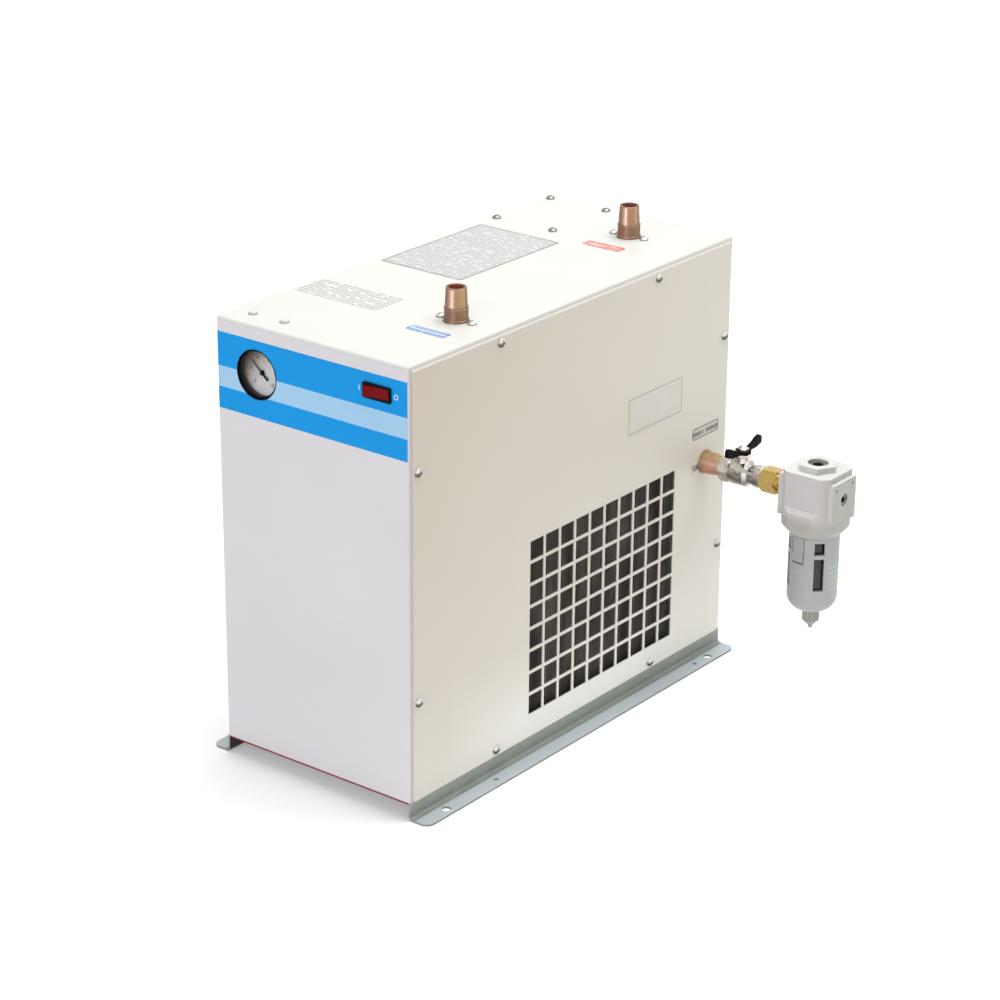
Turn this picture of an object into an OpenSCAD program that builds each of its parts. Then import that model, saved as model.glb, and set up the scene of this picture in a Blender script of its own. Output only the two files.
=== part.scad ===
// Refrigerated compressed-air dryer: sheet-metal cabinet with its refrigeration set inside,
// two pipe ports on top, and a drain line with shut-off valve and float drain on the right side.
// Millimetres, +Z up, front face towards -Y, origin on the floor under the middle of the cabinet.

/* [Cabinet] */
// Width over the two side panels
cab_w = 228; // [205:1:260]
// Depth from the front face to the rear face
cab_d = 500; // [480:1:560]
// Height from the floor to the top cover
cab_h = 440; // [420:1:500]
// Thickness of the casing sheet
sheet_t = 1.2; // [0.8:0.1:2]
// Outside radius of the sheet bends
bend_r = 2.4; // [2.4:0.1:5]
// Height of the panels' lower edge above the floor
skirt_z = 18; // [14:1:24]
// Depth of the side returns on the front and rear panels
return_w = 22; // [18:1:30]
// Height of the lips along the sides of the top cover
lip_h = 15; // [13:1:20]
// Strip of return left showing around a side panel
reveal = 4.2; // [3:0.1:6]
// Radius of a side panel's corners
side_corner_r = 3; // [1:0.5:6]

/* [Base and feet] */
// Thickness of the base plate
base_t = 1.6; // [1.2:0.1:3]
// Thickness of the foot rails
rail_t = 2; // [1.5:0.1:3]
// Reach of the foot flange outside its web
foot_w = 21.2; // [18:0.1:28]
// Height of the rail web above the panels' lower edge
rail_up = 22; // [16:1:30]
// Radius of the foot flange's outer corners
foot_corner_r = 9; // [3:1:12]
// Diameter of the floor bolt holes
foot_hole_d = 9; // [7:0.5:11]
// Distance of a floor bolt hole from the end of its rail
foot_hole_inset = 37; // [25:1:60]
// Distance of the floor bolt holes from the rail web
foot_hole_out = 12.2; // [11:0.1:14]
// Diameter of the two pilot holes in each foot flange
pilot_d = 4.5; // [2.5:0.5:5]
// Distance of the front pilot hole from the front end of the rail
pilot_front = 112; // [80:1:150]
// Distance of the rear pilot hole from the rear end of the rail
pilot_rear = 60; // [50:1:80]

/* [Grille] */
// Openings in one row of the grille
grille_cols = 10; // [8:1:10]
// Openings in one column of the grille
grille_rows = 8; // [6:1:8]
// Width of one grille opening
cell_w = 20.75; // [17.5:0.25:21]
// Height of one grille opening
cell_h = 19.7; // [16:0.1:20]
// Width of the bars between the grille openings
grille_bar = 3; // [2.5:0.5:4]
// Distance of the grille's middle behind the middle of the cabinet
grille_y = 42.5; // [30:0.5:50]
// Height of the grille's lower edge above the panels' lower edge
grille_up = 23.8; // [20:0.1:32]

/* [Screws] */
// Diameter of a pan head
head_d = 9; // [6.5:0.5:9]
// Height of a pan head
head_h = 3.4; // [2:0.1:3.5]
// Diameter of a screw shank
shank_d = 3.6; // [3:0.1:4.2]
// Length of a screw under its head
shank_l = 9; // [8:0.5:10]
// Distance of the side screws from the panel edges that run beside them
side_screw_inset = 7; // [6:0.5:9]
// Half the distance between the side screws along the top edge
side_screw_top = 122; // [80:1:150]
// Half the distance between the side screws along the bottom edge
side_screw_bottom = 125; // [80:1:150]
// Height of the upper side screws on the upright edges
side_screw_high = 340; // [300:1:370]
// Height of the lower side screws on the upright edges
side_screw_low = 117; // [90:1:150]
// Diameter of the round heads over the gauge
dome_d = 9.6; // [8:0.1:11]
// Height of the round heads over the gauge
dome_h = 3.2; // [2.5:0.1:4]

/* [Air ports] */
// Outlet axis, distance from the right face
outlet_from_right = 49; // [40:0.5:60]
// Outlet axis, distance from the front face
outlet_from_front = 125; // [115:0.5:140]
// Inlet axis, distance from the right face
inlet_from_right = 79.5; // [66:0.5:82]
// Inlet axis, distance from the rear face
inlet_from_rear = 67; // [50:0.5:80]
// Drain axis, distance from the rear face
drain_from_rear = 38; // [34:0.5:44]
// Height of the drain axis above the floor
drain_z = 214; // [205:0.5:225]
// Height of a nipple outside its panel
nipple_h = 32; // [30:0.5:40]
// Length of a nipple's plain lower body
nipple_body_h = 13; // [12:0.5:17]
// Diameter of the plain lower body
nipple_body_d = 22.2; // [22:0.1:23]
// Diameter of the collar against the panel
nipple_rim_d = 24; // [23.4:0.1:25]
// Diameter of the taper thread at its large end
thread_big_d = 20.6; // [20.2:0.1:21.8]
// Diameter of the taper thread at its small end
thread_tip_d = 19; // [18.6:0.1:20.2]
// Bore of a nipple
nipple_bore_d = 15; // [12:0.5:16]
// Distance of a flange screw from the nipple axis
flange_screw = 18; // [17:0.5:20]
// Thickness of the flange behind the panel
flange_t = 5; // [4:0.5:7]
// Outside diameter of the air pipes
air_pipe_d = 18; // [15:0.5:20]

/* [Gauge] */
// Gauge axis, distance from the left face
gauge_from_left = 49.8; // [42:0.1:52]
// Gauge axis, distance below the top
gauge_from_top = 46.7; // [40:0.1:52]
// Diameter of the gauge case
gauge_d = 47.4; // [40:0.1:52]
// Depth of the gauge case
gauge_depth = 28; // [24:1:32]
// Wall of the gauge case around the dial
gauge_wall = 1.5; // [1:0.1:2]
// Depth of the dial behind the front edge of the case
dial_depth = 9.4; // [8:0.1:12]
// Length of the needle's pointer
pointer_l = 16; // [12:0.5:18]
// Length of the needle's tail
tail_l = 9; // [6:0.5:10]
// Angle of the needle at rest, from the right round to the pointer
needle_angle = 139; // [100:1:170]

/* [Switch] */
// Switch middle, distance from the right face
switch_from_right = 36.2; // [32:0.1:45]
// Switch middle, distance below the top
switch_from_top = 30.7; // [28:0.1:34]
// Length of the bezel
bezel_l = 32; // [31:0.5:34]
// Height of the bezel
bezel_h = 14.4; // [13.6:0.1:16]
// Length of the rocker
rocker_l = 25.4; // [22:0.2:26]
// Height of the rocker
rocker_h = 9.8; // [8:0.2:10.2]
// Angle that each half of the rocker slopes
rocker_slope = 9; // [6:0.5:11]

/* [Front stripes] */
// Distance of the stripes' upper edge below the top
stripe_top = 14.4; // [11:0.1:16]
// Height of the upper stripe
stripe_upper_h = 32.6; // [26:0.2:38]
// Height of the middle stripe
stripe_mid_h = 20; // [14:0.5:24]
// Height of the lower stripe
stripe_lower_h = 21; // [14:0.5:24]
// Thickness of the stripe film
film_t = 0.2; // [0.1:0.05:0.3]

/* [Drain valve] */
// Depth that the nipple enters the valve
thread_in = 9; // [6:0.5:9]
// Width across flats of the valve's hexagon
valve_hex = 24.4; // [24:0.2:27]
// Length of the valve's hexagon
valve_hex_l = 11; // [10:0.5:12]
// Length of the round valve body
valve_round_l = 22; // [18.5:0.5:24]
// Diameter of the round valve body
valve_round_d = 27; // [26:0.2:29]
// Length of the valve's tailpiece
tailpiece_l = 15.5; // [15:0.5:22]
// Diameter of the valve's tailpiece
tailpiece_d = 23; // [21.5:0.5:24]
// Diameter of the ball
ball_d = 17.6; // [16:0.2:18]
// Bore through the valve
valve_bore_d = 11; // [8:0.5:12]
// Height of the stem boss above the pipe axis
boss_up = 16.5; // [15.5:0.5:19]
// Span of the handle over its two wings
handle_span = 60; // [46:1:64]
// Width across flats of the adapter
adapter_hex = 23.4; // [21:0.2:26]
// Length of the adapter's hexagon
adapter_l = 18; // [14:0.5:22]

/* [Float drain] */
// Gap from the adapter's hexagon to the drain head
head_gap = 11; // [8:0.5:14]
// Diameter of the drain head over its round corners
head_round_d = 66.5; // [66:0.5:72]
// Width of the drain head over its flats
head_flat_w = 54; // [50:0.5:58]
// How far the port pads stand out of the flats
pad_out = 4.5; // [1:0.5:5]
// Height of the drain head above the port axis
head_up = 25.5; // [20:0.5:27]
// Depth of the flats below the port axis
flat_down = 15; // [14:0.5:20]
// Diameter of the collar under the flats
collar_d = 67; // [66:0.5:72]
// Depth of the collar below the flats
collar_l = 25; // [20:0.5:26]
// Height of the bevel around the collar's lower edge
collar_bevel = 9; // [7:0.5:10]
// Outside diameter of the bowl guard
guard_d = 50; // [48:0.5:51]
// Length of the bowl guard below the collar
guard_l = 83; // [78:1:90]
// Wall of the bowl guard
guard_wall = 3.4; // [3:0.1:3.8]
// Width of a guard window
window_w = 10.3; // [8:0.1:12]
// Radius of the guard's rounded bottom edge
guard_bottom_r = 17; // [8:1:18]
// Diameter of the drain knob
knob_d = 17; // [14:0.5:19]
// Length of the drain knob's ribbed part
knob_l = 11; // [8:0.5:14]
// Turn that frees the bowl from the head
bowl_turn = 45; // [40:1:50]
// Travel of the float
float_travel = 10; // [6:1:14]
// Travel of the bowl's lock button
button_travel = 3; // [2:0.5:4]

/* [Refrigeration set] */
// Depth of the condenser core
cond_t = 38; // [30:1:40]
// Spacing of the condenser fins
fin_pitch = 3.5; // [3:0.1:6]
// Thickness of a fin
fin_t = 0.3; // [0.2:0.05:0.5]
// Number of condenser tubes, one above the other
cond_tubes = 8; // [4:2:8]
// Diameter of the condenser tubes
cond_tube_d = 9.5; // [8:0.1:11]
// Distance of the fan tips inside the condenser's upper and lower edge
fan_margin = 13; // [10:0.5:20]
// Number of fan blades
fan_blades = 5; // [3:1:7]
// Pitch of a fan blade
blade_pitch = 30; // [20:1:34]
// Diameter of the fan motor
motor_d = 72; // [60:1:80]
// Length of the fan motor
motor_l = 52; // [44:1:56]
// Diameter of the compressor shell
comp_d = 136; // [120:1:140]
// Height of the compressor shell
comp_h = 162; // [140:1:170]
// Width of the heat exchanger
exch_w = 100; // [90:1:104]
// Length of the heat exchanger
exch_l = 220; // [190:1:232]
// Gap over the heat exchanger for its hanger
hanger_h = 14; // [10:1:20]
// Diameter of the refrigerant pipes
gas_pipe_d = 8; // [6:0.5:9]

/* [Hidden] */
$fn = 64;

// Clearances
fit = 0.05;
run = 0.06;
gap = 0.5;
hole_gap = 0.4;
lap = 0.01;

// Main planes of the cabinet
side_x = cab_w / 2;
ret_x = side_x - sheet_t;
front_y = -cab_d / 2;
rear_y = cab_d / 2;
under_top = cab_h - sheet_t;
base_top = skirt_z;
lip_z = cab_h - lip_h;
rail_in_r = 3;
rail_out_r = rail_in_r + rail_t;
bend_end_z = cab_h - bend_r;

// Grille extents
grille_w = grille_cols * cell_w + (grille_cols - 1) * grille_bar;
grille_h = grille_rows * cell_h + (grille_rows - 1) * grille_bar;
grille_z = skirt_z + grille_up + grille_h / 2;

// Port axes
outlet_x = side_x - outlet_from_right;
outlet_y = front_y + outlet_from_front;
inlet_x = side_x - inlet_from_right;
inlet_y = rear_y - inlet_from_rear;
drain_y = rear_y - drain_from_rear;
flange_w = nipple_rim_d + 4;
flange_l = 2 * flange_screw + 14;
nipple_tail_d = air_pipe_d + 3;
nipple_tail_l = 12;
nipple_in = sheet_t + flange_t + nipple_tail_l;

// Gauge and switch places
gauge_x = -side_x + gauge_from_left;
gauge_z = cab_h - gauge_from_top;
switch_x = side_x - switch_from_right;
switch_z = cab_h - switch_from_top;
switch_body_w = bezel_l - 4;
switch_body_h = bezel_h - 2.4;
dome_spacing = 38;
dome_shift = -5.7;
dome_back = 4.5;
dome_y = front_y + gauge_depth - dome_back;
hanger_sx = 70;
hanger_sy = 89;
hanger_in_x = 9.5;
hanger_in_y = 10.5;
hanger_x = -side_x + hanger_in_x + hanger_sx / 2;
hanger_y = rear_y - hanger_in_y - hanger_sy / 2;

// Drain line places along its axis, from the face of the side panel
valve_w = nipple_h - thread_in;
round_w = valve_w + valve_hex_l;
ball_w = round_w + valve_round_l / 2;
tail_w = round_w + valve_round_l;
adapter_w = tail_w + tailpiece_l;
shoulder_w = adapter_w + adapter_l;
pad_w = shoulder_w + head_gap;
head_x = side_x + pad_w + pad_out + head_flat_w / 2;

// Float drain heights
head_top = drain_z + head_up;
flat_z = drain_z - flat_down;
collar_z = flat_z - collar_l;
guard_r = guard_d / 2;
guard_z = collar_z - guard_l;
neck_r = guard_r - 2;
neck_top = collar_z + 9;
lug_r = neck_r + 1.4;
lug_z = collar_z + 4;
lug_h = 3.6;
lug_turn = 24;
bowl_r = guard_r - guard_wall - gap;
bowl_wall = 2;
bowl_rim_h = 3;
bowl_floor = guard_z + 4;
outlet_r = 5;
knob_stem_r = 2.6;

// Condenser and fan places
cond_x1 = ret_x - sheet_t - 4;
cond_x0 = cond_x1 - cond_t;
cond_xc = (cond_x0 + cond_x1) / 2;
cond_l = grille_w + 12;
cond_h = grille_h + 16;
cond_y0 = grille_y - cond_l / 2;
cond_y1 = grille_y + cond_l / 2;
cond_z0 = grille_z - cond_h / 2;
frame_t = 1.5;
tube_pitch = floor(cond_h / cond_tubes * 5) / 5;
tube_out = 6;
tube_wall = 0.8;
shroud_d = 22;
shroud_x = cond_x0 - shroud_d;
fan_d = cond_h - 2 * fan_margin;
ring_r = fan_d / 2 + 4;
ring_l = 11;
fan_x = shroud_x;
hub_r = 21;
hub_l = 26;
blade_w = 52;
strap_t = 2;
strap_x = fan_x - blade_w / 2 * sin(blade_pitch) - 6;
strap_reach = ring_r + 12;
shaft_r = 4;
motor_boss_r = 11;

// Compressor place
comp_in_x = 92;
comp_in_y = 94;
comp_x = -side_x + comp_in_x;
comp_y = front_y + comp_in_y;
plate_t = 3;
rubber_h = 8;
comp_plate_z = base_top + rubber_h;
comp_z = comp_plate_z + plate_t;
comp_dome = 26;
comp_body_h = comp_h - comp_dome;
comp_foot_x = comp_d / 2 - 2;
comp_foot_y = comp_d / 2 - 8;
rubber_r = 10;
rubber_neck_r = 6.4;
stub_r = gas_pipe_d / 2 + 1.5;
stub_up = 8;
stub_z = comp_z + comp_h + stub_up;
stub_out = comp_d * 0.26;

// Heat exchanger place
exch_clear = 3;
exch_x0 = -side_x + shank_l + exch_clear;
exch_x1 = exch_x0 + exch_w;
exch_back = 10;
exch_y1 = rear_y - exch_back;
exch_y0 = exch_y1 - exch_l;
exch_z1 = under_top - hanger_h;
exch_over_drain = 27;
exch_z0 = drain_z + exch_over_drain;
exch_r = 12;

// Pipe routes
pipe_bend = 12;
gas_bend = 12;
air_wall = 1.2;
capillary_d = 3;
gas_run_up = 52;
gas_run_z = stub_z + gas_run_up;
gas_out_x = comp_x + stub_out;
suction_x = comp_x - stub_out;
cond_in_run = 26;
cond_in_y = cond_y0 - cond_in_run;
row_top = grille_z + (cond_tubes - 1) / 2 * tube_pitch;
row_low = grille_z - (cond_tubes - 1) / 2 * tube_pitch;
drier_in = 58;
drier_up = 24;
drier_y = front_y + drier_in;
drier_z = row_low + drier_up;
drier_l = 96;
drier_r = 14;
inject_up = 30;
inject_in = 14;
inject_z = exch_z0 + inject_up;
inject_x = exch_x1 - inject_in;
bypass_in = 36;
bypass_up = 62;
bypass_back = 40;
bypass_x = cond_xc - bypass_in;
bypass_z = exch_z0 + bypass_up;
bypass_y = comp_y + bypass_back;
bypass_l = 40;
run_in = 30;
outlet_drop = 22;
inlet_drop = 32;
outlet_run_z = gauge_z - outlet_drop;
outlet_run_x = exch_x1 - run_in;
inlet_run_z = exch_z1 - inlet_drop;
drain_drop_x = exch_x1 - run_in;

// Plane shapes

module round_rect(w, h, r) {
    square([w - 2 * r, h], center = true);
    square([w, h - 2 * r], center = true);
    for (sx = [-1, 1], sy = [-1, 1])
        translate([sx * (w / 2 - r), sy * (h / 2 - r)]) circle(r);
}

module slot_shape(l, d) {
    square([l - d, d], center = true);
    for (s = [-1, 1]) translate([s * (l - d) / 2, 0]) circle(d = d);
}

module ring_shape(od, id) {
    difference() {
        circle(d = od);
        circle(d = id);
    }
}

module channel_block(w, d, r) {
    translate([-w / 2, r]) square([w, d - r]);
    translate([-w / 2 + r, 0]) square([w - 2 * r, r]);
    for (s = [-1, 1]) translate([s * (w / 2 - r), r]) circle(r);
}

// Bent channel: web along x at y = 0, legs towards +y
module channel_shape(w, d) {
    difference() {
        channel_block(w, d, bend_r);
        translate([0, sheet_t]) channel_block(w - 2 * sheet_t, d + 1, bend_r - sheet_t);
    }
}

module hexagon(af) {
    circle(d = af / cos(30), $fn = 6);
}

// Placing of pieces

// Local z runs out of the front face, local y runs up
module on_front(x, z) {
    translate([x, front_y, z]) rotate([90, 0, 0]) children();
}

// Local z runs out of the right face along the drain axis, local x runs to the rear, local y up
module on_drain() {
    translate([side_x, drain_y, drain_z]) rotate([90, 0, 90]) children();
}

// Local z runs out of a side face
module on_side(s, y, z) {
    translate([s * side_x, y, z]) rotate([90, 0, s * 90]) children();
}

module on_head() {
    translate([head_x, drain_y, 0]) children();
}

module on_comp() {
    translate([comp_x, comp_y, 0]) children();
}

// Local z runs along the fan axis towards +X
module on_fan() {
    translate([fan_x, grille_y, grille_z]) rotate([90, 0, 90]) children();
}

// Pipes along straight runs parallel to the axes, with round bends between them

function side_of(w) = abs(w.z) > 0.5 ? [1, 0, 0] : [0, 0, 1];

function axes(p, ex, ey, ez) = [
    [ex.x, ey.x, ez.x, p.x],
    [ex.y, ey.y, ez.y, p.y],
    [ex.z, ey.z, ez.z, p.z],
    [0, 0, 0, 1]
];

module straight(a, b, od, id) {
    w = (b - a) / norm(b - a);
    ex = side_of(w);
    multmatrix(axes(a, ex, cross(w, ex), w))
        linear_extrude(norm(b - a)) ring_shape(od, id);
}

module elbow(p, d1, d2, r, od, id) {
    multmatrix(axes(p - r * d1 + r * d2, -d2, d1, cross(d1, d2)))
        rotate_extrude(angle = 90) translate([r, 0]) ring_shape(od, id);
}

module pipe(pts, od, id, r) {
    last = len(pts) - 1;
    dirs = [for (i = [0 : last - 1]) (pts[i + 1] - pts[i]) / norm(pts[i + 1] - pts[i])];
    for (i = [0 : last - 1])
        straight(
            pts[i] + (i > 0 ? r : 0) * dirs[i],
            pts[i + 1] - (i < last - 1 ? r : 0) * dirs[i],
            od, id
        );
    for (i = [1 : 1 : last - 1]) elbow(pts[i], dirs[i - 1], dirs[i], r, od, id);
}

// Fasteners

function cap_radius(a, h) = (a * a + h * h) / (2 * h);

module cap(d, h) {
    intersection() {
        cylinder(d = d, h = h);
        translate([0, 0, h - cap_radius(d / 2, h)]) sphere(cap_radius(d / 2, h));
    }
}

module pan_screw(d, h, l) {
    recess_w = 1.1;
    recess_l = d * 0.55;
    edge = h * 0.35;
    difference() {
        union() {
            cylinder(d = d, h = edge);
            translate([0, 0, edge]) cap(d, h - edge);
        }
        for (a = [0, 90])
            rotate(a) translate([0, 0, h]) cube([recess_l, recess_w, h], center = true);
    }
    translate([0, 0, -l]) cylinder(d = shank_d, h = l);
}

module shank_hole(depth) {
    translate([0, 0, -depth]) cylinder(d = shank_d + 2 * fit, h = depth + 1);
}

// Places of the eight screws of one side panel, as [y, z]
function side_screw_places() = [
    for (s = [-1, 1]) each [
        [s * side_screw_top, cab_h - reveal - side_screw_inset],
        [s * (rear_y - reveal - side_screw_inset), side_screw_high],
        [s * (rear_y - reveal - side_screw_inset), side_screw_low],
        [s * side_screw_bottom, skirt_z + side_screw_inset]
    ]
];

module side_screw_holes() {
    for (s = [-1, 1], p = side_screw_places()) on_side(s, p.x, p.y) shank_hole(shank_l + 1);
}

module hanger_places() {
    for (sx = [-1, 1], sy = [-1, 1])
        translate([hanger_x + sx * hanger_sx / 2, hanger_y + sy * hanger_sy / 2, cab_h]) children();
}

module dome_places() {
    for (s = [-1, 1])
        translate([gauge_x + dome_shift + s * dome_spacing / 2, dome_y, cab_h]) children();
}

module nipple_places() {
    translate([inlet_x, inlet_y, cab_h]) children();
    translate([outlet_x, outlet_y, cab_h]) children();
}

module flange_screw_places() {
    for (s = [-1, 1]) translate([s * flange_screw, 0, 0]) children();
}

// Cabinet

module base_plate() {
    w = 2 * (ret_x - rail_t);
    web_l = cab_d - 2 * return_w - 2 * gap;
    color("firebrick") difference() {
        union() {
            translate([-w / 2, front_y, base_top - base_t]) cube([w, cab_d, base_t]);
            for (s = [-1, 1])
                translate([s * (w / 2 - base_t / 2), 0, base_top + rail_up / 2])
                    cube([base_t, web_l, rail_up], center = true);
        }
        side_screw_holes();
    }
}

module rail_bend() {
    translate([ret_x + rail_in_r, rail_out_r]) intersection() {
        ring_shape(2 * rail_out_r, 2 * rail_in_r);
        translate([-rail_out_r, -rail_out_r]) square(rail_out_r);
    }
}

module foot_rail(s) {
    foot_l = foot_w - rail_in_r;
    web_l = cab_d - 2 * return_w - 2 * gap;
    hole_x = ret_x + foot_hole_out;
    color("slategray") difference() {
        mirror([s < 0 ? 1 : 0, 0, 0]) union() {
            translate([0, rear_y, 0]) rotate([90, 0, 0]) linear_extrude(cab_d) {
                rail_bend();
                translate([ret_x - rail_t, rail_out_r]) square([rail_t, skirt_z - rail_out_r]);
            }
            translate([ret_x - rail_t, -web_l / 2, skirt_z]) cube([rail_t, web_l, rail_up]);
            linear_extrude(rail_t) translate([ret_x + rail_in_r, 0]) intersection() {
                round_rect(2 * foot_l, cab_d, foot_corner_r);
                translate([0, -cab_d / 2]) square([foot_l, cab_d]);
            }
        }
        side_screw_holes();
        for (y = [front_y + foot_hole_inset, rear_y - foot_hole_inset])
            translate([s * hole_x, y, -1]) cylinder(d = foot_hole_d, h = rail_t + 2);
        for (y = [front_y + pilot_front, rear_y - pilot_rear])
            translate([s * hole_x, y, -1]) cylinder(d = pilot_d, h = rail_t + 2);
    }
}

module left_foot_rail() {
    foot_rail(-1);
}

module right_foot_rail() {
    foot_rail(1);
}

// Panel tray with its web on the front face, standing on the base plate
module end_tray() {
    floor_w = return_w - 4;
    translate([0, front_y, skirt_z]) {
        linear_extrude(lip_z - skirt_z) channel_shape(2 * ret_x, return_w);
        translate([0, 0, lip_z - skirt_z]) linear_extrude(bend_end_z - lip_z) intersection() {
            channel_shape(2 * ret_x, return_w);
            translate([-ret_x, 0]) square([2 * ret_x, bend_r]);
        }
        translate([-ret_x + 2 * bend_r, sheet_t, 0])
            cube([2 * (ret_x - 2 * bend_r), floor_w, sheet_t]);
    }
}

module front_cutouts() {
    on_front(gauge_x, gauge_z) translate([0, 0, -sheet_t - 1])
        cylinder(d = gauge_d + 2 * fit, h = sheet_t + 2);
    on_front(switch_x, switch_z) translate([0, 0, -sheet_t - 1])
        linear_extrude(sheet_t + 2) square([switch_body_w + 2 * fit, switch_body_h + 2 * fit], center = true);
}

module front_panel() {
    color("gainsboro") difference() {
        end_tray();
        front_cutouts();
        side_screw_holes();
    }
}

gland_in = 42;
gland_x = -side_x + gland_in;
gland_z = 70;
gland_r = 8;

module rear_panel() {
    color("ivory") difference() {
        mirror([0, 1, 0]) end_tray();
        side_screw_holes();
        translate([gland_x, rear_y, gland_z]) rotate([90, 0, 0])
            translate([0, 0, -1]) cylinder(r = gland_r + fit, h = sheet_t + 2);
        on_drain() translate([0, 0, -2 * sheet_t - 1]) linear_extrude(sheet_t + 2)
            slot_shape(flange_l + 2 * gap, flange_w + 2 * gap);
    }
}

// Quarter bend along the front edge of the top cover
module cover_bend() {
    translate([-(ret_x - bend_r), 0, 0]) rotate([90, 0, 90]) linear_extrude(2 * (ret_x - bend_r))
        translate([front_y + bend_r, bend_end_z]) intersection() {
            ring_shape(2 * bend_r, 2 * (bend_r - sheet_t));
            translate([-bend_r, 0]) square(bend_r);
        }
}

// Pressed corner that joins the cover's bends, on the front right
module cover_corner() {
    translate([ret_x - bend_r, front_y + bend_r, bend_end_z]) rotate([0, 0, -90])
        rotate_extrude(angle = 90) intersection() {
            ring_shape(2 * bend_r, 2 * (bend_r - sheet_t));
            square(bend_r);
        }
}

module top_cover() {
    l = cab_d - 2 * bend_r;
    color("ivory") difference() {
        union() {
            translate([0, l / 2, cab_h]) rotate([90, 0, 0]) linear_extrude(l)
                mirror([0, 1]) channel_shape(2 * ret_x, lip_h);
            cover_bend();
            mirror([0, 1, 0]) cover_bend();
            for (i = [0, 1], j = [0, 1]) mirror([i, 0, 0]) mirror([0, j, 0]) cover_corner();
        }
        side_screw_holes();
        nipple_places() {
            translate([0, 0, -sheet_t - 1]) cylinder(d = nipple_rim_d + 2 * fit, h = sheet_t + 2);
            flange_screw_places() shank_hole(shank_l);
        }
        hanger_places() shank_hole(shank_l);
        dome_places() shank_hole(shank_l);
    }
}

module grille_cells() {
    for (i = [0 : grille_cols - 1], j = [0 : grille_rows - 1])
        translate([
            grille_y - grille_w / 2 + cell_w / 2 + i * (cell_w + grille_bar),
            grille_z - grille_h / 2 + cell_h / 2 + j * (cell_h + grille_bar)
        ]) square([cell_w, cell_h], center = true);
}

// Side panel outline with its grille, in the y, z plane
module side_panel_shape() {
    z1 = cab_h - reveal;
    difference() {
        translate([0, (skirt_z + z1) / 2]) round_rect(cab_d - 2 * reveal, z1 - skirt_z, side_corner_r);
        grille_cells();
    }
}

module side_panel(s) {
    color("antiquewhite") difference() {
        translate([s > 0 ? ret_x : -side_x, 0, 0]) rotate([90, 0, 90])
            linear_extrude(sheet_t) side_panel_shape();
        side_screw_holes();
        if (s > 0) on_drain() {
            translate([0, 0, -sheet_t - 1]) cylinder(d = nipple_rim_d + 2 * fit, h = sheet_t + 2);
            flange_screw_places() shank_hole(sheet_t + 1);
        }
    }
}

module left_side_panel() {
    side_panel(-1);
}

module right_side_panel() {
    side_panel(1);
}

module stripe_band(top, h) {
    wrap = 1;
    w = 2 * (ret_x - bend_r + wrap);
    difference() {
        translate([0, front_y, cab_h - top - h / 2]) rotate([90, 0, 0])
            linear_extrude(film_t) square([w, h], center = true);
        on_front(gauge_x, gauge_z) translate([0, 0, -1]) cylinder(d = gauge_d + 2 * fit, h = 3);
        on_front(switch_x, switch_z) translate([0, 0, -1]) linear_extrude(3)
            square([switch_body_w + 2 * fit, switch_body_h + 2 * fit], center = true);
    }
}

module stripe_film() {
    color("dodgerblue") {
        stripe_band(stripe_top, stripe_upper_h);
        stripe_band(stripe_top + stripe_upper_h + stripe_mid_h, stripe_lower_h);
    }
    color("lightskyblue") stripe_band(stripe_top + stripe_upper_h, stripe_mid_h);
}

module side_screws() {
    color("silver") for (s = [-1, 1], p = side_screw_places())
        on_side(s, p.x, p.y) pan_screw(head_d, head_h, shank_l);
}

module fitting_screws() {
    color("silver") {
        nipple_places() flange_screw_places() pan_screw(head_d, head_h, sheet_t + flange_t);
        on_drain() flange_screw_places() pan_screw(head_d, head_h, sheet_t + flange_t);
        hanger_places() pan_screw(head_d, head_h, shank_l);
    }
}

module dome_screws() {
    color("white") dome_places() {
        cap(dome_d, dome_h);
        translate([0, 0, -shank_l]) cylinder(d = shank_d, h = shank_l);
    }
}

// Pipe nipple with its flange behind the panel; local z = 0 is the panel's outer face
module nipple() {
    rim_h = 2;
    ring_h = 1.2;
    color("peru") difference() {
        union() {
            translate([0, 0, -sheet_t - flange_t]) linear_extrude(flange_t)
                slot_shape(flange_l, flange_w);
            translate([0, 0, -nipple_in]) cylinder(d = nipple_tail_d, h = nipple_tail_l);
            translate([0, 0, -sheet_t]) cylinder(d = nipple_rim_d, h = sheet_t + rim_h);
            translate([0, 0, rim_h]) cylinder(d = nipple_body_d, h = nipple_body_h - rim_h - ring_h);
            translate([0, 0, nipple_body_h - ring_h]) cylinder(d = nipple_body_d + 0.6, h = ring_h);
            translate([0, 0, nipple_body_h])
                cylinder(d1 = thread_big_d, d2 = thread_tip_d, h = nipple_h - nipple_body_h);
        }
        translate([0, 0, -nipple_in - 1]) cylinder(d = nipple_bore_d, h = nipple_in + nipple_h + 2);
        flange_screw_places() shank_hole(sheet_t + flange_t);
    }
}

module inlet_nipple() {
    translate([inlet_x, inlet_y, cab_h]) nipple();
}

module outlet_nipple() {
    translate([outlet_x, outlet_y, cab_h]) nipple();
}

module drain_nipple() {
    on_drain() nipple();
}

// Pressure gauge; local z = 0 is the panel's outer face

gauge_rim = 0.6;
dial_z = gauge_rim - dial_depth;
dial_t = 1;
lens_t = 1.6;
lens_z = gauge_rim - lens_t - 0.4;
dial_r = gauge_d / 2 - gauge_wall;
needle_t = 0.6;
needle_lift = 1.6;
pivot_r = 0.8;
hub_d = 4.4;

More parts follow.
